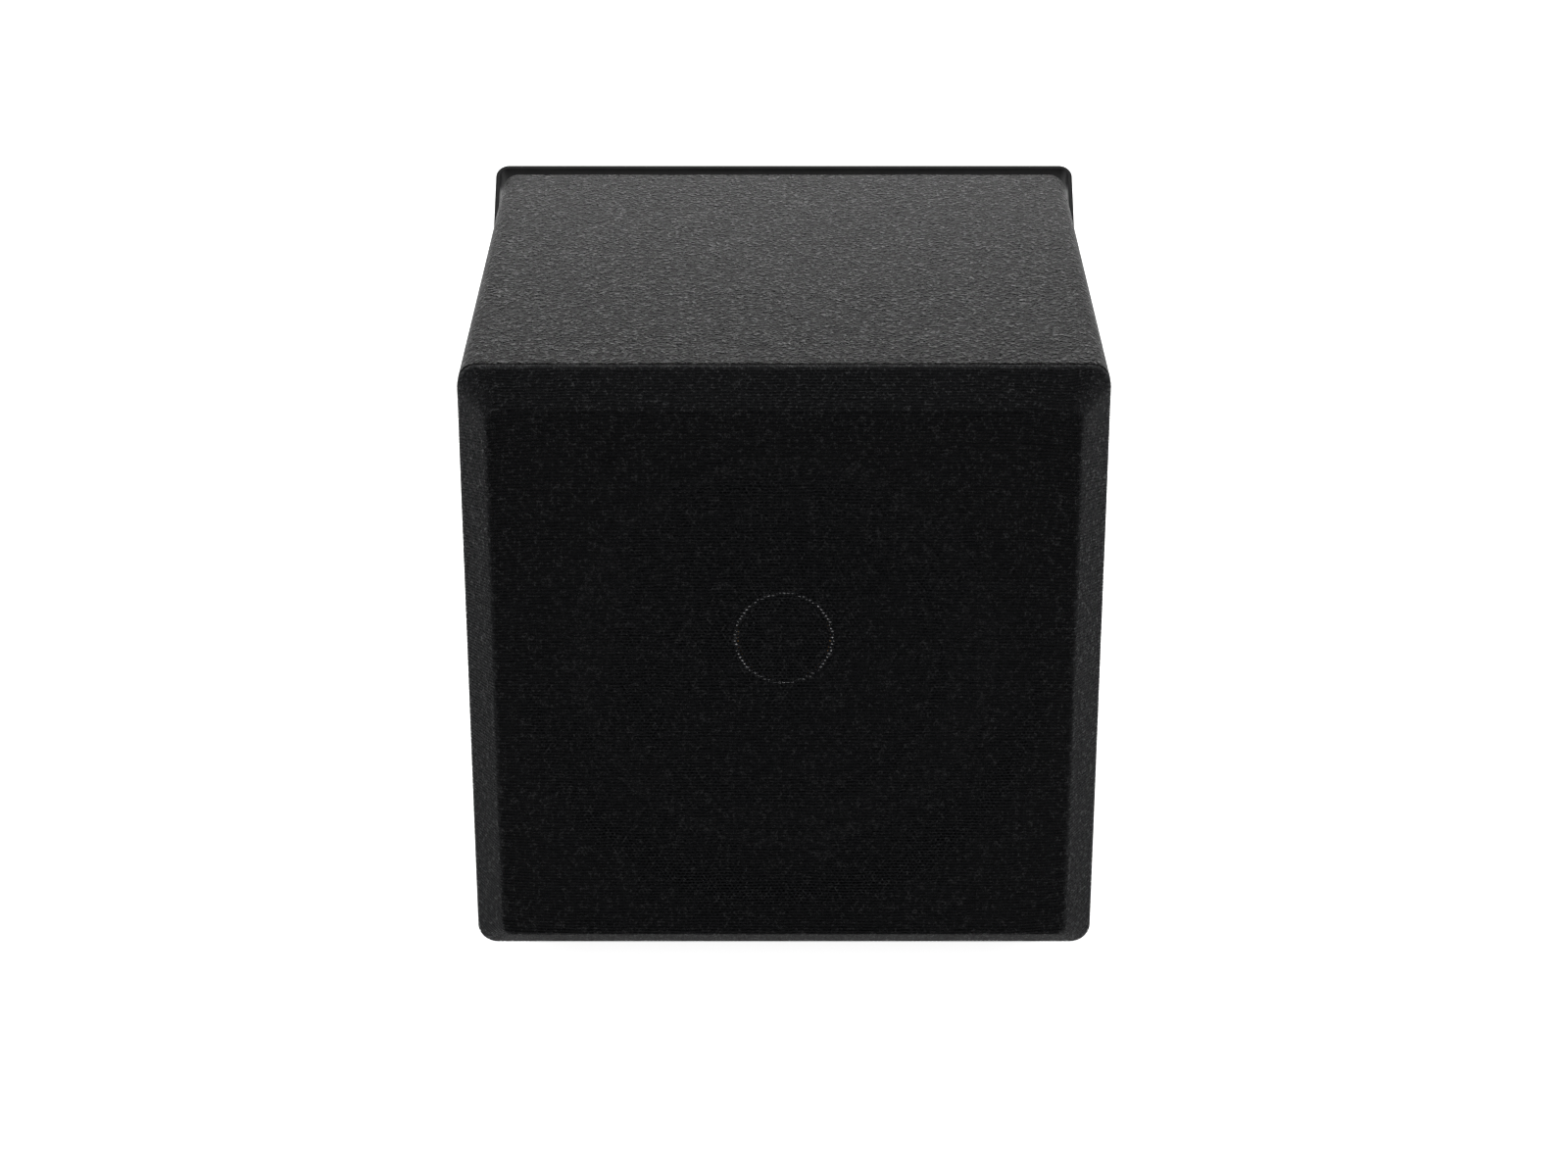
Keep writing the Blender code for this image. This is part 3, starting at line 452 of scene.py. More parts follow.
def knit_cloth():
    """Warp-knit cloth: staggered eyelets between uneven ribs, partly see-through."""
    material, tree, shader, coords = new_material("grille_cloth", 0.85, specular=0.065)
    pitch_along, pitch_across = 0.0026, 0.0021
    weave = node(tree, "Attribute", attribute_name="weave", attribute_type="GEOMETRY").outputs["Vector"]
    wobble = node(tree, "TexNoise", {"Vector": weave, "Scale": 45, "Detail": 5}).outputs["Color"]
    centred = vector_node(tree, "SUBTRACT", wobble, (0.5, 0.5, 0.5))
    shift = vector_node(tree, "MULTIPLY", centred, (0.0035, 0.0025, 0))
    split = node(tree, "SeparateXYZ", {0: vector_node(tree, "ADD", weave, shift)}).outputs
    row = math_node(tree, "DIVIDE", split["Y"], pitch_across)
    row_index = math_node(tree, "FLOOR", row)
    stagger = math_node(tree, "MULTIPLY", math_node(tree, "FLOORED_MODULO", row_index, 2.0), 0.5)
    column = math_node(tree, "DIVIDE", split["X"], pitch_along)
    column = math_node(tree, "ADD", column, stagger)
    along = math_node(tree, "SUBTRACT", math_node(tree, "FRACT", column), 0.5)
    across = math_node(tree, "SUBTRACT", math_node(tree, "FRACT", row), 0.5)
    column_index = math_node(tree, "FLOOR", column)
    stitch = node(tree, "CombineXYZ", {0: column_index, 1: row_index}).outputs[0]
    chance = node(tree, "TexWhiteNoise", {"Vector": stitch}).outputs["Value"]
    near = math_node(tree, "POWER", math_node(tree, "DIVIDE", along, 0.40), 2.0)
    far = math_node(tree, "POWER", math_node(tree, "DIVIDE", across, 0.27), 2.0)
    reach = math_node(tree, "ADD", near, far)
    yarn = ramp(tree, reach, (0.5, 0.0), (1.0, 1.0))

    fibres = noise(tree, coords, 1500, 2, 0.6)
    lumps = noise(tree, coords, 400, 2, 0.8)
    # Painted glints: glossier spots of yarn are also painted brighter, standing in for highlights.
    glossy_spot_painted_glint = math_node(tree, "MULTIPLY", ramp(tree, lumps, (0.52, 0.0), (0.72, 1.0)), yarn)
    uneven = math_node(tree, "MULTIPLY_ADD", chance, 0.15, math_node(tree, "MULTIPLY", glossy_spot_painted_glint, 0.8))
    # dark and middle are the yarn's own uneven tone per stitch; light is the painted glint colour.
    dark, middle = (0.0041, 0.0047, 0.0058), (0.0102, 0.0109, 0.0123)
    light = (0.0590, 0.0605, 0.0635)
    drive(tree, shader, "Base Color", uneven, (0.05, dark), (0.22, middle), (0.85, light))
    drive(tree, shader, "Roughness", glossy_spot_painted_glint, (0.0, 0.55), (1.0, 0.32))
    rib = math_node(tree, "MULTIPLY", math_node(tree, "MULTIPLY", across, across), 2.0)
    relief = math_node(tree, "MULTIPLY_ADD", yarn, 0.5, rib)
    relief = math_node(tree, "MULTIPLY_ADD", lumps, 2.2, relief)
    bump(tree, shader, math_node(tree, "MULTIPLY_ADD", fibres, 0.4, relief), 0.0028)
    cover = math_node(tree, "MULTIPLY_ADD", yarn, 0.95, 0.05)
    tree.links.new(cover, shader.inputs["Alpha"])
    return material


def board(name, color, fleck):
    """Fibreboard, bare or under thin black paint: fine fibres in all directions."""
    material, tree, shader, coords = new_material(name, 0.75)
    fibres = noise(tree, coords, 700, 4, 0.65, 1.5)
    drive(tree, shader, "Base Color", fibres, (0.3, color), (0.75, fleck))
    drive(tree, shader, "Roughness", fibres, (0.3, 0.65), (0.7, 0.85))
    bump(tree, shader, fibres, 0.0002)
    return material


def cone_paper():
    """Pressed pulp: long soft fibres with faint grey flecks."""
    material, tree, shader, coords = new_material("cone_paper", 0.7, specular=0.3)
    fibres = noise(tree, coords, 260, 5, 0.7, 2.5)
    flecks = noise(tree, coords, 1200, 2, 0.5)
    dark, light = (0.010, 0.010, 0.011), (0.030, 0.030, 0.032)
    drive(tree, shader, "Base Color", fibres, (0.3, dark), (0.75, light))
    drive(tree, shader, "Roughness", flecks, (0.3, 0.6), (0.7, 0.8))
    bump(tree, shader, math_node(tree, "ADD", fibres, flecks), 0.0002)
    return material


def rubber():
    """Black rubber with a faint grey bloom."""
    material, tree, shader, coords = new_material("rubber", 0.6, specular=0.4)
    bloom = noise(tree, coords, 60, 4, 0.6)
    black = (0.014, 0.014, 0.014)
    pale = tuple(1.9 * c for c in black)
    drive(tree, shader, "Base Color", bloom, (0.35, black), (0.75, pale))
    drive(tree, shader, "Roughness", bloom, (0.3, 0.5), (0.7, 0.72))
    bump(tree, shader, noise(tree, coords, 1400, 2, 0.5), 0.00004)
    return material


def metal(name, color, roughness):
    """Plated or machined metal with fine marks and faint stains."""
    material, tree, shader, coords = new_material(name, roughness, 1.0)
    marks = noise(tree, coords, 500, 3, 0.6)
    stains = noise(tree, coords, 45, 3, 0.6)
    darker = tuple(0.72 * c for c in color)
    drive(tree, shader, "Base Color", stains, (0.3, darker), (0.65, color))
    drive(tree, shader, "Roughness", marks, (0.3, roughness - 0.1), (0.7, roughness + 0.15))
    bump(tree, shader, marks, 0.00002)
    return material


def ferrite():
    """Pressed and sintered magnet: matt dark grey with small pits."""
    material, tree, shader, coords = new_material("ferrite", 0.6)
    pits = noise(tree, coords, 900, 4, 0.7)
    dark, light = (0.030, 0.030, 0.033), (0.065, 0.065, 0.070)
    drive(tree, shader, "Base Color", pits, (0.3, dark), (0.7, light))
    drive(tree, shader, "Roughness", pits, (0.3, 0.75), (0.7, 0.5))
    bump(tree, shader, pits, 0.00012)
    return material


def woven(name, color, pitch=0.0009):
    """Open cotton weave, stiffened with resin."""
    material, tree, shader, coords = new_material(name, 0.8, specular=0.2)
    wave = {"Vector": coords, "Scale": 1 / pitch / 3, "Distortion": 1.0}
    threads = node(tree, "TexWave", wave).outputs["Fac"]
    cross = node(tree, "TexWave", wave, bands_direction="Z").outputs["Fac"]
    height = math_node(tree, "MULTIPLY", threads, cross)
    # Painted shade: the colour darkens where the weave sinks between the threads' crossings.
    dark = tuple(0.45 * c for c in color)
    drive(tree, shader, "Base Color", height, (0.1, dark), (0.7, color))
    drive(tree, shader, "Roughness", height, (0.2, 0.9), (0.8, 0.7))
    bump(tree, shader, height, 0.0003)
    return material


def wadding():
    """Loose white polyester fibre."""
    material, tree, shader, coords = new_material("wadding", 0.95, specular=0.1)
    tangle = noise(tree, coords, 240, 6, 0.75, 3.0)
    dark, light = (0.42, 0.42, 0.41), (0.85, 0.85, 0.84)
    drive(tree, shader, "Base Color", tangle, (0.3, dark), (0.7, light))
    drive(tree, shader, "Roughness", tangle, (0.3, 1.0), (0.7, 0.85))
    shader.inputs["Sheen Weight"].default_value = 0.4
    bump(tree, shader, tangle, 0.003)
    return material


def winding(name, color, pitch):
    """Enamelled wire wound side by side about the Y axis."""
    material, tree, shader, coords = new_material(name, 0.3, 0.9)
    depth = node(tree, "SeparateXYZ", {0: coords}).outputs["Y"]
    turns = math_node(tree, "SINE", math_node(tree, "MULTIPLY", depth, 2 * math.pi / pitch))
    # Painted shade: the colour darkens in the grooves between the turns and is full on their crests.
    dark = tuple(0.35 * c for c in color)
    crest = math_node(tree, "MULTIPLY_ADD", turns, 0.5, 0.5)
    drive(tree, shader, "Base Color", crest, (0.1, dark), (0.6, color))
    drive(tree, shader, "Roughness", noise(tree, coords, 300), (0.3, 0.22), (0.7, 0.4))
    bump(tree, shader, turns, 0.0002)
    return material


def circuit_board():
    """Green solder mask over straight copper tracks."""
    material, tree, shader, coords = new_material("circuit_board", 0.4)
    bricks = {"Vector": coords, "Scale": 90, "Mortar Size": 0.12}
    tracks = node(tree, "TexBrick", bricks).outputs["Fac"]
    dark, light = (0.010, 0.075, 0.030), (0.020, 0.150, 0.060)
    drive(tree, shader, "Base Color", tracks, (0.2, dark), (0.8, light))
    drive(tree, shader, "Roughness", noise(tree, coords, 200), (0.3, 0.3), (0.7, 0.5))
    bump(tree, shader, tracks, 0.00006)
    return material


PAINT = cabinet_paint()
CLOTH = knit_cloth()
BRACKET_PAINT = satin_paint("bracket_paint", (0.015, 0.015, 0.0155), 0.45, 1100, 0.00008, 0.08)
PLASTIC = satin_paint("black_plastic", (0.018, 0.018, 0.018), 0.5, 1500, 0.00005)
RED_PLASTIC = satin_paint("red_plastic", (0.33, 0.015, 0.015), 0.35, 1500, 0.00003)
BLACK_SHEATH = satin_paint("lead_black", (0.014, 0.014, 0.014), 0.4, 1500, 0.00003)
RED_SHEATH = satin_paint("lead_red", (0.36, 0.015, 0.015), 0.4, 1500, 0.00003)
BASKET_PAINT = satin_paint("basket_paint", (0.022, 0.022, 0.023), 0.5, 700, 0.0001)
SCREW_STEEL = satin_paint("black_steel", (0.03, 0.03, 0.032), 0.35, 1500, 0.00003)
BAFFLE_BLACK = board("baffle_black", (0.008, 0.008, 0.008), (0.018, 0.018, 0.019))
RAW_BOARD = board("raw_board", (0.26, 0.17, 0.09), (0.45, 0.33, 0.21))
# The grille board's black paint, darkened to near zero as painted shade, so that it reads as the shade
# behind the cloth's eyelets.
GRILLE_BLACK_AND_SHADE = board("grille_frame", (0.002, 0.002, 0.002), (0.004, 0.004, 0.004))
CONE = cone_paper()
RUBBER = rubber()
STEEL = metal("plated_steel", (0.55, 0.55, 0.54), 0.35)
BRIGHT = metal("bright_trim", (0.92, 0.92, 0.94), 0.22)
GOLD = metal("plated_brass", (0.83, 0.62, 0.28), 0.25)
FERRITE = ferrite()
SPIDER = woven("spider_cloth", (0.42, 0.30, 0.11))
FORMER = metal("former_film", (0.45, 0.24, 0.08), 0.3)
WADDING = wadding()
COPPER = winding("copper_wire", (0.72, 0.30, 0.14), 0.0005)
CIRCUIT = circuit_board()


# Cabinet


def arc_rings(half, radius, start_y, end_y, steps=5):
    """Outline half-widths and places along an eased edge, from the face's y to the side's y."""
    ease = abs(end_y - start_y)
    direction = math.copysign(1, end_y - start_y)
    for step in range(steps + 1):
        angle = math.pi / 2 * step / steps
        inset = ease * (1 - math.sin(angle))
        y = start_y + direction * ease * (1 - math.cos(angle))
        yield outline(half - inset, radius - inset), y


def make_cabinet():
    """The five outer panels under one coat of paint: a box with an open front."""
    ease = 0.0007
    inner_half = HALF_WIDTH - PANEL
    inner_corner = 0.0015
    inner_back = BACK_LOW[1] - GAP
    rings = [
        *arc_rings(HALF_WIDTH, EDGE_RADIUS, BACK_FACE_Y, BACK_FACE_Y - ease),
        *reversed(list(arc_rings(HALF_WIDTH, EDGE_RADIUS, FRONT_Y, FRONT_Y + ease))),
        (outline(inner_half + 0.0005, inner_corner), FRONT_Y),
        (outline(inner_half, inner_corner), FRONT_Y + 0.0005),
        (outline(inner_half, inner_corner), inner_back),
    ]
    shell = lofted("cabinet_shell", rings, Matrix.Translation((0, 0, CENTRE_Z)))

    port_low, port_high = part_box("port_tube")
    port_z = (port_low[2] + port_high[2]) / 2
    cup_low, cup_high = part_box("terminal_cup")
    cup_z = (cup_low[2] + cup_high[2]) / 2
    insert_radius, port_radius, cup_half = 0.0073, 0.0373, 0.0353
    port_hole = cylinder(port_radius, 0.08, (0, BACK_FACE_Y, port_z), FACING_BACK, FINE_STEPS)
    cup_outline = outline(cup_half, 0.006, 6)
    cup_rings = [(cup_outline, BACK_FACE_Y - 0.04), (cup_outline, BACK_FACE_Y + 0.04)]
    cup_hole = lofted("cup_hole", cup_rings, Matrix.Translation((0, 0, cup_z)))
    inserts = cylinder(insert_radius, 1.0, (0, PIVOT.y, CENTRE_Z), FACING_RIGHT)
    shell = carved(shell, [port_hole, cup_hole, inserts])
    panels = ("top_panel", "bottom_panel", "left_panel", "right_panel", "back_panel")
    piece("cabinet_shell", shell, PAINT, "cabinet", *panels)


# Grille


def grille_profile(inset, steps):
    """The grille's section from the flat face round to its back edge, as (half, corner, y)."""
    face_y = CLOTH_LOW[1] + inset
    side_y = FRONT_Y - GRILLE_STRAIGHT
    back_y = CLOTH_HIGH[1] - inset
    turned_in = 0.010
    corners = [
        (0.0, face_y),
        (HALF_WIDTH - GRILLE_CHAMFER - inset * 0.6, face_y),
        (HALF_WIDTH - inset, side_y + inset * 0.3),
        (HALF_WIDTH - inset, back_y),
        (HALF_WIDTH - turned_in, back_y),
    ]
    radii = [0, 0.004, 0.006, 0.0008, 0]
    soft = rounded(corners, radii, steps, closed=False)
    result = []
    for half, y in soft:
        share = (half - (HALF_WIDTH - GRILLE_CHAMFER)) / GRILLE_CHAMFER
        share = min(max(share, 0), 1)
        corner = GRILLE_FACE_CORNER + (GRILLE_CORNER - GRILLE_FACE_CORNER) * share
        result.append((half, min(corner, max(half, 0.0001)), y))
    return result


def make_cloth():
    """One sheet of knit cloth pulled over the grille board, with its edge turned in behind."""
    section = grille_profile(0, 8)
    face_half, face_y = section[1][0], section[0][2]
    face_rings = 36
    corner_steps, side_steps = 8, 40
    rings = []
    for i in range(1, face_rings):
        half = face_half * i / face_rings
        rings.append((half, min(GRILLE_FACE_CORNER, half * 0.5), face_y, 0.0))
    run = 0.0
    previous = (face_half, face_y)
    for half, corner, y in section[1:]:
        run += math.hypot(half - previous[0], y - previous[1])
        rings.append((half, corner, y, run))
        previous = (half, y)

    bm = bmesh.new()
    weave_places = []
    loops = []
    for half, corner, y, beyond in rings:
        points = outline(half, corner, corner_steps, side_steps)
        loop = []
        for point in points:
            vert = bm.verts.new((point.x, y, point.y + CENTRE_Z))
            flat = point.copy()
            if beyond:
                inward = Vector((
                    math.copysign(min(abs(point.x), face_half - corner), point.x),
                    math.copysign(min(abs(point.y), face_half - corner), point.y),
                ))
                outward = point - inward
                flat = inward + outward.normalized() * (corner + beyond)
            loop.append(vert)
            weave_places.append(pulled(flat))
        loops.append(loop)
    centre = bm.verts.new((0, face_y, CENTRE_Z))
    weave_places.append((0, 0, 0))
    bridge(bm, loops)
    for i, vert in enumerate(loops[0]):
        bm.faces.new((centre, loops[0][(i + 1) % len(loops[0])], vert))
    mesh = mesh_from("grille_cloth_fabric", bm, 180)
    if mesh.polygons[0].normal.y > 0:
        mesh.flip_normals()
    weave = mesh.attributes.new("weave", "FLOAT_VECTOR", "POINT")
    for i, place in enumerate(weave_places):
        weave.data[i].vector = place
    cloth = piece("grille_cloth_fabric", mesh, CLOTH, "grille", "grille_cloth")
    thickness = cloth.modifiers.new("thickness", "SOLIDIFY")
    thickness.thickness = 0.0005
    thickness.offset = -1


def pulled(flat):
    """Where a place on the frame lies in the knit's own rows, which bow out between the corners."""
    span, bow, sharpness = 0.215, 0.085, 8
    across, along = flat.y / span, flat.x / span
    return (
        flat.x * (1 + bow * across**sharpness),
        flat.y * (1 + bow * along**sharpness),
        0.0,
    )


def make_board():
    """The grille's board: chamfered all round, with a round opening whose edges are eased."""
    inset = 0.0010
    low, high = BOARD_LOW[1], BOARD_HIGH[1]
    half = BOARD_HIGH[0]
    face_half = HALF_WIDTH - GRILLE_CHAMFER - inset * 0.5
    rings = [
        (outline(half - 0.0004, GRILLE_CORNER - inset), high),
        (outline(half, GRILLE_CORNER - inset), high - 0.0004),
        (outline(half, GRILLE_CORNER - inset), FRONT_Y - GRILLE_STRAIGHT + 0.0004),
        (outline(face_half + 0.0008, GRILLE_FACE_CORNER), low + 0.0008),
        (outline(face_half, GRILLE_FACE_CORNER - inset), low),
    ]
    mesh = lofted("grille_board_fine", rings, Matrix.Translation((0, 0, CENTRE_Z)), 20)
    opening_radius, ease = 0.154, 0.0015
    half_depth = (high - low) / 2
    flare = 0.004
    back_half = [
        (opening_radius, half_depth - ease),
        (opening_radius + ease, half_depth),
        (opening_radius + ease + flare, half_depth + flare),
        (0, half_depth + flare),
    ]
    opening = [(radius, -depth) for radius, depth in reversed(back_half)] + back_half
    middle = (0, (low + high) / 2, CENTRE_Z)
    cutter = turned_mesh("opening", opening, middle, steps=FINE_STEPS)
    mesh = carved(mesh, [cutter])
    piece("grille_board_fine", mesh, GRILLE_BLACK_AND_SHADE, "grille", "grille_board")


def node_middle(name):
    """The middle of a node's box."""
    low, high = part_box(name)
    return tuple((a + b) / 2 for a, b in zip(low, high))


def make_pegs():
    """Push-fit pegs: a flange, a waist that flexes and a rounded tip."""
    for i in range(1, 5):
        name = f"grille_peg_{i}"
        low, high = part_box(name)
        x, _, z = node_middle(name)
        length = high[1] - low[1]
        profile = [
            (0, 0),
            (0.006, 0),
            (0.006, 0.0009),
            (0.0040, 0.0009),
            (0.0040, 0.0055),
            (0.0034, 0.0065),
            (0.0034, 0.0085),
            (0.0040, 0.0100),
            (0.0036, length - 0.0010),
            (0.0020, length),
            (0, length),
        ]
        soft = rounded(profile, 0.0004, 3, False)
        mesh = turned_mesh(name + "_fine", soft, (x, low[1], z))
        piece(name + "_fine", mesh, PLASTIC, "grille", name)


# Driver


def driver_turned(name, profile, ease, material, body, replaced):
    """A piece turned about the driver's axis, with depths measured back from the front rim."""
    closed = profile[0][0] > 0
    shaped = rounded(profile, ease, 3, closed) if ease else profile
    mesh = turned_mesh(name, shaped, (0, FRONT_Y, CENTRE_Z), steps=FINE_STEPS)
    piece(name, mesh, material, body, replaced)


def oblong(inner, outer, front, back):
    """The section of a plain flat ring."""
    return [(inner, front), (outer, front), (outer, back), (inner, back)]


CONE_RADIUS = 0.0925
CONE_RIM = 0.0100
CONE_NECK = 0.0297
CONE_BACK = 0.0345


def cone_line(count):
    """The cone's slightly curved front line, from the rim to the neck."""
    curve = 1.12
    for i in range(count + 1):
        share = i / count
        radius = CONE_RADIUS + (CONE_NECK - CONE_RADIUS) * share
        yield radius, CONE_RIM + (CONE_BACK - CONE_RIM) * share**curve


def make_cone():
    """The paper cone, the bright ring in its neck and the dished dust cap inside that ring."""
    body = "driver_moving_parts"
    line = list(cone_line(24))
    profile = line + [(radius, depth + 0.001) for radius, depth in reversed(line)]
    driver_turned("driver_cone_fine", profile, 0, CONE, body, "driver_cone")
    ring = [
        (0.0301 + 0.0013 * math.cos(angle), 0.0322 + 0.0009 * math.sin(angle))
        for angle in (2 * math.pi * i / 12 for i in range(12))
    ]
    driver_turned("cap_ring_fine", ring, 0, BRIGHT, body, "driver_cap_ring")
    dish = [
        (0, 0.0444),
        (0.0100, 0.0442),
        (0.0169, 0.0436),
        (0.0267, 0.0325),
        (0.0281, 0.0325),
        (0.0281, 0.0340),
        (0.0179, 0.0446),
        (0.0100, 0.0450),
        (0, 0.0452),
    ]
    driver_turned("dust_cap_fine", dish, 0.0012, CONE, body, "driver_dust_cap")


def make_flexing_ring(name, line, thickness, sectors, material, replaced):
    """A ring that is held outside and moves inside, made as separate sectors round its axis, each
    carrying the section out along its radius.
    """
    profile = line + [(radius, depth + thickness) for radius, depth in reversed(line)]
    steps = 8
    start_angle = 2 * math.pi / sectors
    for sector in range(sectors):
        bm = bmesh.new()
        columns = []
        for step in range(steps + 1):
            angle = start_angle * (sector + step / steps)
            columns.append([
                bm.verts.new((
                    radius * math.cos(angle),
                    FRONT_Y + depth,
                    CENTRE_Z + radius * math.sin(angle),
                ))
                for radius, depth in profile
            ])
        bridge(bm, columns)
        mesh = mesh_from(f"{name}_{sector + 1}", bm, 50)
        part = add_object(f"{name}_{sector + 1}", mesh)
        mesh.materials.append(material)
        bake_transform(part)
        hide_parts(replaced)


def make_suspension():
    """The rubber surround's half roll, and the spider's waves round the voice coil."""
    inner, outer = 0.0945, 0.1160
    foot, lip = 0.0086, 0.0025
    height = 0.0105
    roll = []
    for i in range(25):
        share = i / 24
        radius = (inner + outer) / 2 - (outer - inner) / 2 * math.cos(math.pi * share)
        base = foot + (lip - foot) * share
        roll.append((radius, base - height * math.sin(math.pi * share)))
    line = [(0.0895, foot), *roll, (0.1215, lip)]
    make_flexing_ring("surround", line, 0.0007, 24, RUBBER, "driver_surround")
    inner, outer, depth = 0.0294, 0.0610, 0.0581
    waves, steps = 4, 40
    spider = []
    for i in range(steps + 1):
        share = i / steps
        wave = 0.0012 * math.sin(2 * math.pi * waves * share)
        spider.append((inner + (outer - inner) * share, depth + wave))
    spider.append((0.0745, depth))
    make_flexing_ring("spider", spider, 0.0005, 12, SPIDER, "driver_spider")


def make_driver_details():
    """The gasket on the driver's rim, and the magnet between its two steel plates."""
    gasket = oblong(0.1165, 0.1215, 0.0004, 0.0022)
    driver_turned("driver_gasket_fine", gasket, 0.0008, RUBBER, "cabinet", "driver_gasket")
    front, back = 0.0720, 0.0800
    plate = oblong(0.0323, 0.0680, front, back)
    driver_turned("top_plate_fine", plate, 0.0008, STEEL, "cabinet", "driver_top_plate")
    magnet = oblong(0.0450, 0.0750, 0.0803, 0.1003)
    driver_turned("magnet_fine", magnet, 0.0012, FERRITE, "cabinet", "driver_magnet")
    pole, vent, rim = 0.0273, 0.0120, 0.0720
    seat, end = 0.1006, 0.1086
    yoke = [(pole, front), (pole, seat), (rim, seat), (rim, end), (vent, end), (vent, front)]
    driver_turned("yoke_fine", yoke, 0.0010, STEEL, "cabinet", "driver_yoke")


def hex_cutter(radius, depth, place):
    """A six-sided cutter for a screw's socket."""
    return cylinder(radius, depth, place, FACING_BACK, 6)


def make_driver_screws():
    """Pan-head screws with a hexagon socket."""
    for i in range(1, 7):
        name = f"driver_screw_{i}"
        x, _, z = node_middle(name)
        top = (x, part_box(name)[0][1], z)
        profile = [
            (0, 0),
            (0.0026, 0.0),
            (0.0036, 0.0006),
            (0.0040, 0.0014),
            (0.0040, 0.0024),
            (0.0020, 0.0024),
            (0.0020, 0.0180),
            (0, 0.0200),
        ]
        soft = rounded(profile, 0.0003, 3, False)
        mesh = turned_mesh(name + "_fine", soft, top, steps=40)
        mesh = carved(mesh, [hex_cutter(0.0016, 0.003, top)])
        piece(name + "_fine", mesh, SCREW_STEEL, "cabinet", name)


# Bracket and its clamps


def bend_to_bracket(length, offset, half_span, reach, bend):
    """The place of a point of the flat strip once its ends are bent back into arms."""
    straight = half_span - bend
    arc = bend * math.pi / 2
    side = math.copysign(1, length)
    along = abs(length)
    if along <= straight:
        return side * along, reach + offset
    if along <= straight + arc:
        angle = (along - straight) / bend
        radius = bend + offset
        return side * (straight + radius * math.sin(angle)), reach - bend + radius * math.cos(angle)
    return side * (half_span + offset), reach - bend - (along - straight - arc)


def make_bracket():
    """Flat steel with eased edges and round ends, bent twice, then drilled."""
    steel, width, bend = 0.003, 0.025, 0.006
    inner = HALF_WIDTH + 0.0036
    reach = 0.284
    tilt = math.radians(38.9)
    half_width = width / 2
    straight = inner - bend
    arc = bend * math.pi / 2
    half_length = straight + arc + reach - bend + half_width
    bm = bmesh.new()
    bmesh.ops.create_cube(bm, size=1)
    bmesh.ops.scale(bm, vec=(half_length * 2, steel, width), verts=bm.verts)
    ends = [e for e in bm.edges if abs(e.verts[0].co.y - e.verts[1].co.y) > steel / 2]
    bmesh.ops.bevel(bm, geom=ends, offset=half_width * 0.98, segments=20, profile=0.5, affect="EDGES")
    rims = [e for e in bm.edges if abs(e.verts[0].co.y - e.verts[1].co.y) < steel / 2]
    bmesh.ops.bevel(bm, geom=rims, offset=0.0005, segments=2, profile=0.5, affect="EDGES")
    bend_steps = 12
    for side in (-1, 1):
        for step in range(bend_steps + 1):
            place = side * (straight + arc * step / bend_steps)
            sliced(bm, (place, 0, 0), (1, 0, 0))
    for vert in bm.verts:
        x, y = bend_to_bracket(vert.co.x, vert.co.y + steel / 2, inner, reach, bend)
        vert.co = (x, y, vert.co.z)
    lean = Matrix.Translation(PIVOT) @ Matrix.Rotation(tilt, 4, "X")
    bmesh.ops.transform(bm, matrix=lean, verts=bm.verts)
    mesh = mesh_from("bracket_fine", bm)
    facing = Matrix.Rotation(tilt - math.pi / 2, 4, "X")
    stud_hole, screw_hole, spacing = 0.0045, 0.00425, 0.110
    cutters = [cylinder(stud_hole, 1.0, PIVOT, FACING_RIGHT)]
    for i in (-1, 0, 1):
        place = lean @ Vector((i * spacing, reach, 0))
        cutters.append(cylinder(screw_hole, 0.03, place, facing))
    mesh = carved(mesh, cutters)
    piece("bracket_fine", mesh, BRACKET_PAINT, "bracket", "bracket")


def lobed(radius, wave_height, lobes=8, points=160):
    """A circle with a gentle wave round it."""
    result = []
    for i in range(points):
        angle = 2 * math.pi * i / points
        reach = radius + wave_height * math.cos(lobes * angle)
        result.append((reach * math.cos(angle), reach * math.sin(angle)))
    return result


def make_clamp_knob(side, name):
    """A lobed knob with a dished middle and its stud, built pointing outwards."""
    body = f"clamp_knob_{name}"
    low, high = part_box(body)
    outer = max(abs(low[0]), abs(high[0]))
    inner_end = min(abs(low[0]), abs(high[0]))
    height = 0.009
    seat = outer - height
    stud = 0.004
    sections = [
        (0.0055, 0, outer - 0.0012),
        (0.0075, 0, outer - 0.0012),
        (0.0080, 0, outer - 0.0004),
        (0.0088, 0, outer),
        (0.0118, 0.0002, outer),
        (0.0136, 0.0005, outer - 0.0004),
        (0.0150, 0.0008, outer - 0.0012),
        (0.0157, 0.00095, outer - 0.0022),
        (0.0160, 0.0010, outer - 0.0034),
        (0.0160, 0.0010, seat + 0.0022),
        (0.0155, 0.0009, seat + 0.0010),
        (0.0140, 0.0005, seat + 0.0002),
        (0.0120, 0, seat),
        (stud, 0, seat),
        (stud, 0, inner_end + 0.0006),
        (stud - 0.0006, 0, inner_end),
    ]
    rings = [(lobed(radius, wave), y) for radius, wave, y in sections]
    turn = Matrix.Rotation(-side * math.pi / 2, 4, "Z")
    mesh = lofted(body + "_fine", rings, Matrix.Translation((0, PIVOT.y, CENTRE_Z)) @ turn)
    piece(body + "_fine", mesh, PLASTIC, body, body)


def make_washer(side, name, facing):
    """The rubber washer between the bracket's arm and the cabinet."""
    washer = oblong(0.0045, 0.012, 0.0003, 0.0033)
    place = (side * HALF_WIDTH, PIVOT.y, CENTRE_Z)
    mesh = turned_mesh(f"washer_{name}_fine", rounded(washer, 0.0006), place, facing)
    piece(f"washer_{name}_fine", mesh, RUBBER, "cabinet", f"bracket_washer_{name}")


# Feet, port and terminals


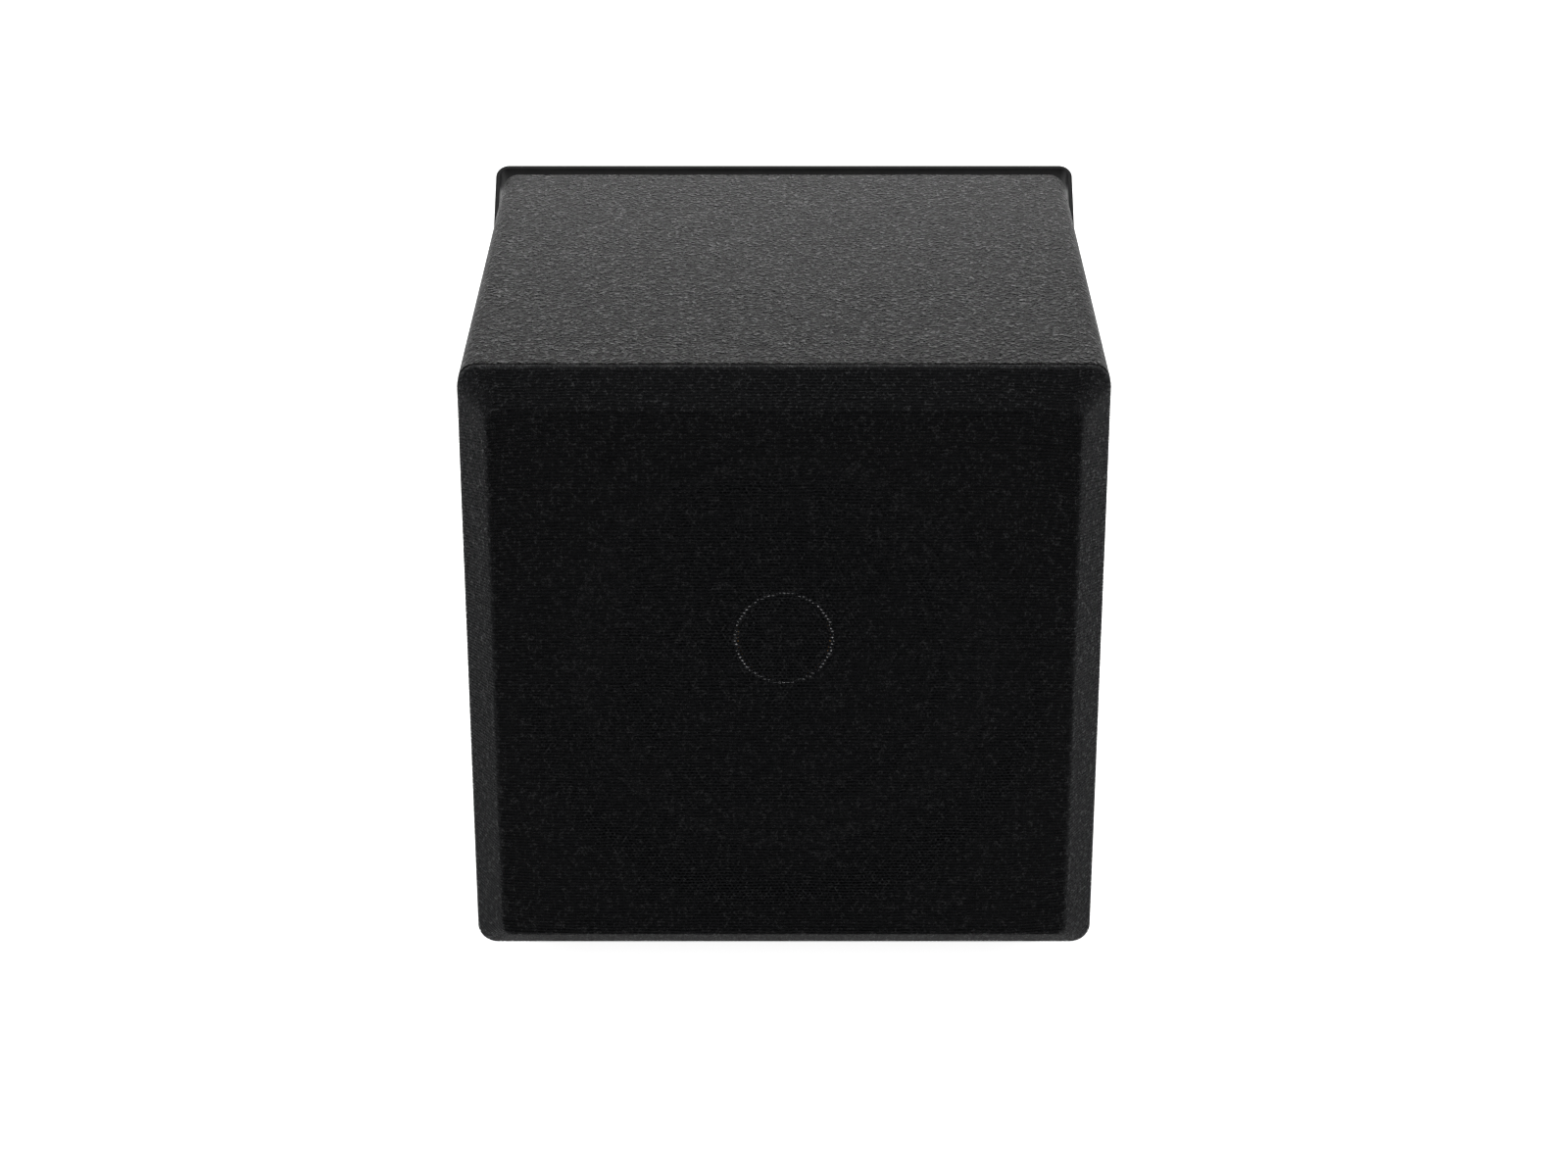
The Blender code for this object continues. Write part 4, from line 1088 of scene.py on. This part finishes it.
def make_feet():
    """Rubber feet, hollow under the middle."""
    for i in range(1, 5):
        name = f"foot_{i}"
        low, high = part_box(name)
        x, y, _ = node_middle(name)
        height = high[2] - low[2]
        profile = [
            (0, height),
            (0.0110, height),
            (0.0110, 0.0030),
            (0.0100, 0),
            (0.0045, 0),
            (0.0045, 0.0022),
            (0, 0.0022),
        ]
        soft = rounded(profile, 0.0007, 4, False)
        mesh = turned_mesh(name + "_fine", soft, (x, y, low[2]), FACING_UP)
        piece(name + "_fine", mesh, RUBBER, "cabinet", name)


def make_port():
    """The bass-reflex port: a tube whose mouth flares out to a flange on the back panel."""
    low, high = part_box("port_tube")
    x, _, z = node_middle("port_tube")
    bore, wall = 0.0345, 0.0370
    flange = high[1] - BACK_FACE_Y
    rim = (high[0] - low[0]) / 2
    length = BACK_FACE_Y - low[1]
    flare = []
    flare_steps = 14
    flare_width, flare_run = 0.0030, 0.013
    for i in range(flare_steps + 1):
        angle = math.pi / 2 * i / flare_steps
        radius = bore + flare_width * (1 - math.cos(angle))
        flare.append((radius, flange - flare_run * (1 - math.sin(angle))))
    profile = [
        (bore, -length + 0.0005),
        *flare,
        (rim - 0.0012, flange),
        (rim, flange - 0.0012),
        (rim, GAP),
        (wall, GAP),
        (wall, -length),
        (bore + 0.0005, -length),
    ]
    mesh = turned_mesh("port_tube_fine", profile, (x, BACK_FACE_Y, z), steps=FINE_STEPS)
    piece("port_tube_fine", mesh, PLASTIC, "cabinet", "port_tube")


def make_terminal_cup():
    """A square dished cup with holes for the two posts, held by four screws."""
    low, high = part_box("terminal_cup")
    x, _, z = node_middle("terminal_cup")
    face = high[1]
    rim = (high[0] - low[0]) / 2
    mouth = 0.0325
    floor = low[1] + 0.0025
    sections = [
        (mouth + 0.0015, 0.006, low[1]),
        (0.0350, 0.006, low[1] + 0.0020),
        (0.0350, 0.006, BACK_FACE_Y + GAP),
        (rim, 0.006, BACK_FACE_Y + GAP),
        (rim, 0.006, face - 0.0009),
        (rim - 0.0003, 0.006, face - 0.0003),
        (rim - 0.0010, 0.0055, face),
        (mouth + 0.0014, 0.0062, face),
        (mouth + 0.0004, 0.0054, face - 0.0004),
        (mouth, 0.005, face - 0.0014),
        (mouth - 0.0008, 0.005, floor + 0.0020),
        (mouth - 0.0014, 0.0046, floor + 0.0006),
        (mouth - 0.0028, 0.0036, floor),
    ]
    rings = [(outline(half, corner), y) for half, corner, y in sections]
    mesh = lofted("terminal_cup_fine", rings, Matrix.Translation((x, 0, z)))
    post_holes = [
        cylinder(0.0033, 0.02, (node_middle(f"binding_post_{i}")[0], low[1], z), FACING_BACK, 24)
        for i in (1, 2)
    ]
    mesh = carved(mesh, post_holes)
    piece("terminal_cup_fine", mesh, PLASTIC, "cabinet", "terminal_cup")
    offset = rim - 0.0052
    head = [(0, 0.0014), (0.0015, 0.0013), (0.0026, 0.0008), (0.0030, 0), (0.0, 0)]
    for i, (sx, sz) in enumerate(((-1, -1), (1, -1), (-1, 1), (1, 1))):
        place = (x + sx * offset, face + 0.00005, z + sz * offset)
        name = f"terminal_screw_{i + 1}"
        mesh = turned_mesh(name, head, place, steps=32)
        top = (place[0], place[1] + 0.0014, place[2])
        mesh = carved(mesh, [hex_cutter(0.0013, 0.0014, top)])
        piece(name, mesh, SCREW_STEEL, "cabinet")


def make_binding_posts():
    """Two threaded posts, each with a collar and a ribbed knob."""
    for i in (1, 2):
        name = f"binding_post_{i}"
        low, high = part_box(name)
        x, _, z = node_middle(name)
        knob_low, knob_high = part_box(f"binding_knob_{i}")
        collar_start = low[1] + 0.0088
        collar_end = collar_start + 0.003
        tip = high[1]
        thread = []
        pitch = 0.0008
        turns = int((tip - collar_end - 0.001) / pitch)
        for turn in range(turns):
            base = collar_end + 0.0004 + turn * pitch
            thread += [(0.0030, base), (0.0027, base + pitch * 0.5)]
        profile = [
            (0, low[1]),
            (0.003, low[1]),
            (0.003, collar_start),
            (0.006, collar_start),
            (0.006, collar_end),
            (0.0028, collar_end),
            *thread,
            (0.0028, tip - 0.0004),
            (0.0022, tip),
            (0, tip),
        ]
        mesh = turned_mesh(name + "_fine", profile, (x, 0, z), steps=48)
        piece(name + "_fine", mesh, GOLD, "cabinet", name)

        start, end = knob_low[1], knob_high[1]
        radius, bore = 0.0075, 0.0034
        ribs = 18
        sections = [
            (bore, 0, start),
            (radius - 0.0009, 0, start),
            (radius - 0.0004, 0, start + 0.0006),
            (radius - 0.0003, 0.0003, start + 0.0016),
            (radius - 0.0003, 0.0003, end - 0.0036),
            (radius - 0.0004, 0.0001, end - 0.0028),
            (radius - 0.0010, 0, end - 0.0012),
            (radius - 0.0020, 0, end),
            (bore, 0, end),
            (bore, 0, start),
        ]
        rings = [(lobed(reach, wave, ribs), y) for reach, wave, y in sections]
        body = f"binding_knob_{i}"
        knob = lofted(body + "_fine", rings, Matrix.Translation((x, 0, z)), 60, capped=False)
        piece(body + "_fine", knob, (PLASTIC, RED_PLASTIC)[i - 1], body, body)


# Wadding and the pieces whose CAD shape is kept


def make_wadding():
    """A soft slab of polyester wadding with rounded edges and an uneven top."""
    low, high = (Vector(corner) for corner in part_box("acoustic_wadding"))
    size = high - low
    ease, lump_height = 0.008, 0.0012
    columns, rows = 60, 48
    bm = bmesh.new()
    bmesh.ops.create_cube(bm, size=1)
    bmesh.ops.scale(bm, vec=size, verts=bm.verts)
    bmesh.ops.bevel(bm, geom=bm.edges[:], offset=ease, segments=4, profile=0.5, affect="EDGES")
    for axis, count in ((0, columns), (1, rows)):
        for step in range(1, count):
            middle = [0, 0, 0]
            middle[axis] = size[axis] * (step / count - 0.5)
            normal = [0, 0, 0]
            normal[axis] = 1
            sliced(bm, middle, normal)
    for vert in bm.verts:
        lumps = math.sin(vert.co.x * 61 + 1.3) * math.sin(vert.co.y * 53) + math.sin(
            vert.co.x * 23 - vert.co.y * 37
        )
        if vert.co.z > 0:
            vert.co.z -= lump_height * (2 + lumps) * vert.co.z / (size.z / 2)
    bmesh.ops.translate(bm, vec=(low + high) / 2, verts=bm.verts)
    mesh = mesh_from("wadding_slab", bm, 180)
    slab = piece("wadding_slab", mesh, WADDING, "cabinet", "acoustic_wadding")


def paint_kept_nodes():
    """Give the remaining CAD nodes their finished materials."""
    kept = {
        "front_baffle": BAFFLE_BLACK,
        "cross_brace": RAW_BOARD,
        "crossover_board": CIRCUIT,
        "crossover_coil": COPPER,
        "crossover_capacitor": PLASTIC,
        "driver_lead_1": BLACK_SHEATH,
        "driver_lead_2": RED_SHEATH,
        "driver_basket": BASKET_PAINT,
        "driver_tag_strip": PLASTIC,
        "voice_coil_former": FORMER,
        "voice_coil": COPPER,
        "threaded_insert_left": GOLD,
        "threaded_insert_right": GOLD,
    }
    kept.update({f"grille_socket_{i}": PLASTIC for i in range(1, 5)})
    for name, material in kept.items():
        obj = frame["nodes"][name]
        obj.data.materials.clear()
        obj.data.materials.append(material)


add_camera()
add_floor()
add_light()
make_cabinet()
make_board()
make_cloth()
make_pegs()
make_cone()
make_suspension()
make_driver_details()
make_driver_screws()
make_bracket()
make_clamp_knob(-1, "left")
make_clamp_knob(1, "right")
make_washer(-1, "left", FACING_LEFT)
make_washer(1, "right", FACING_RIGHT)
make_feet()
make_port()
make_terminal_cup()
make_binding_posts()
make_wadding()
paint_kept_nodes()
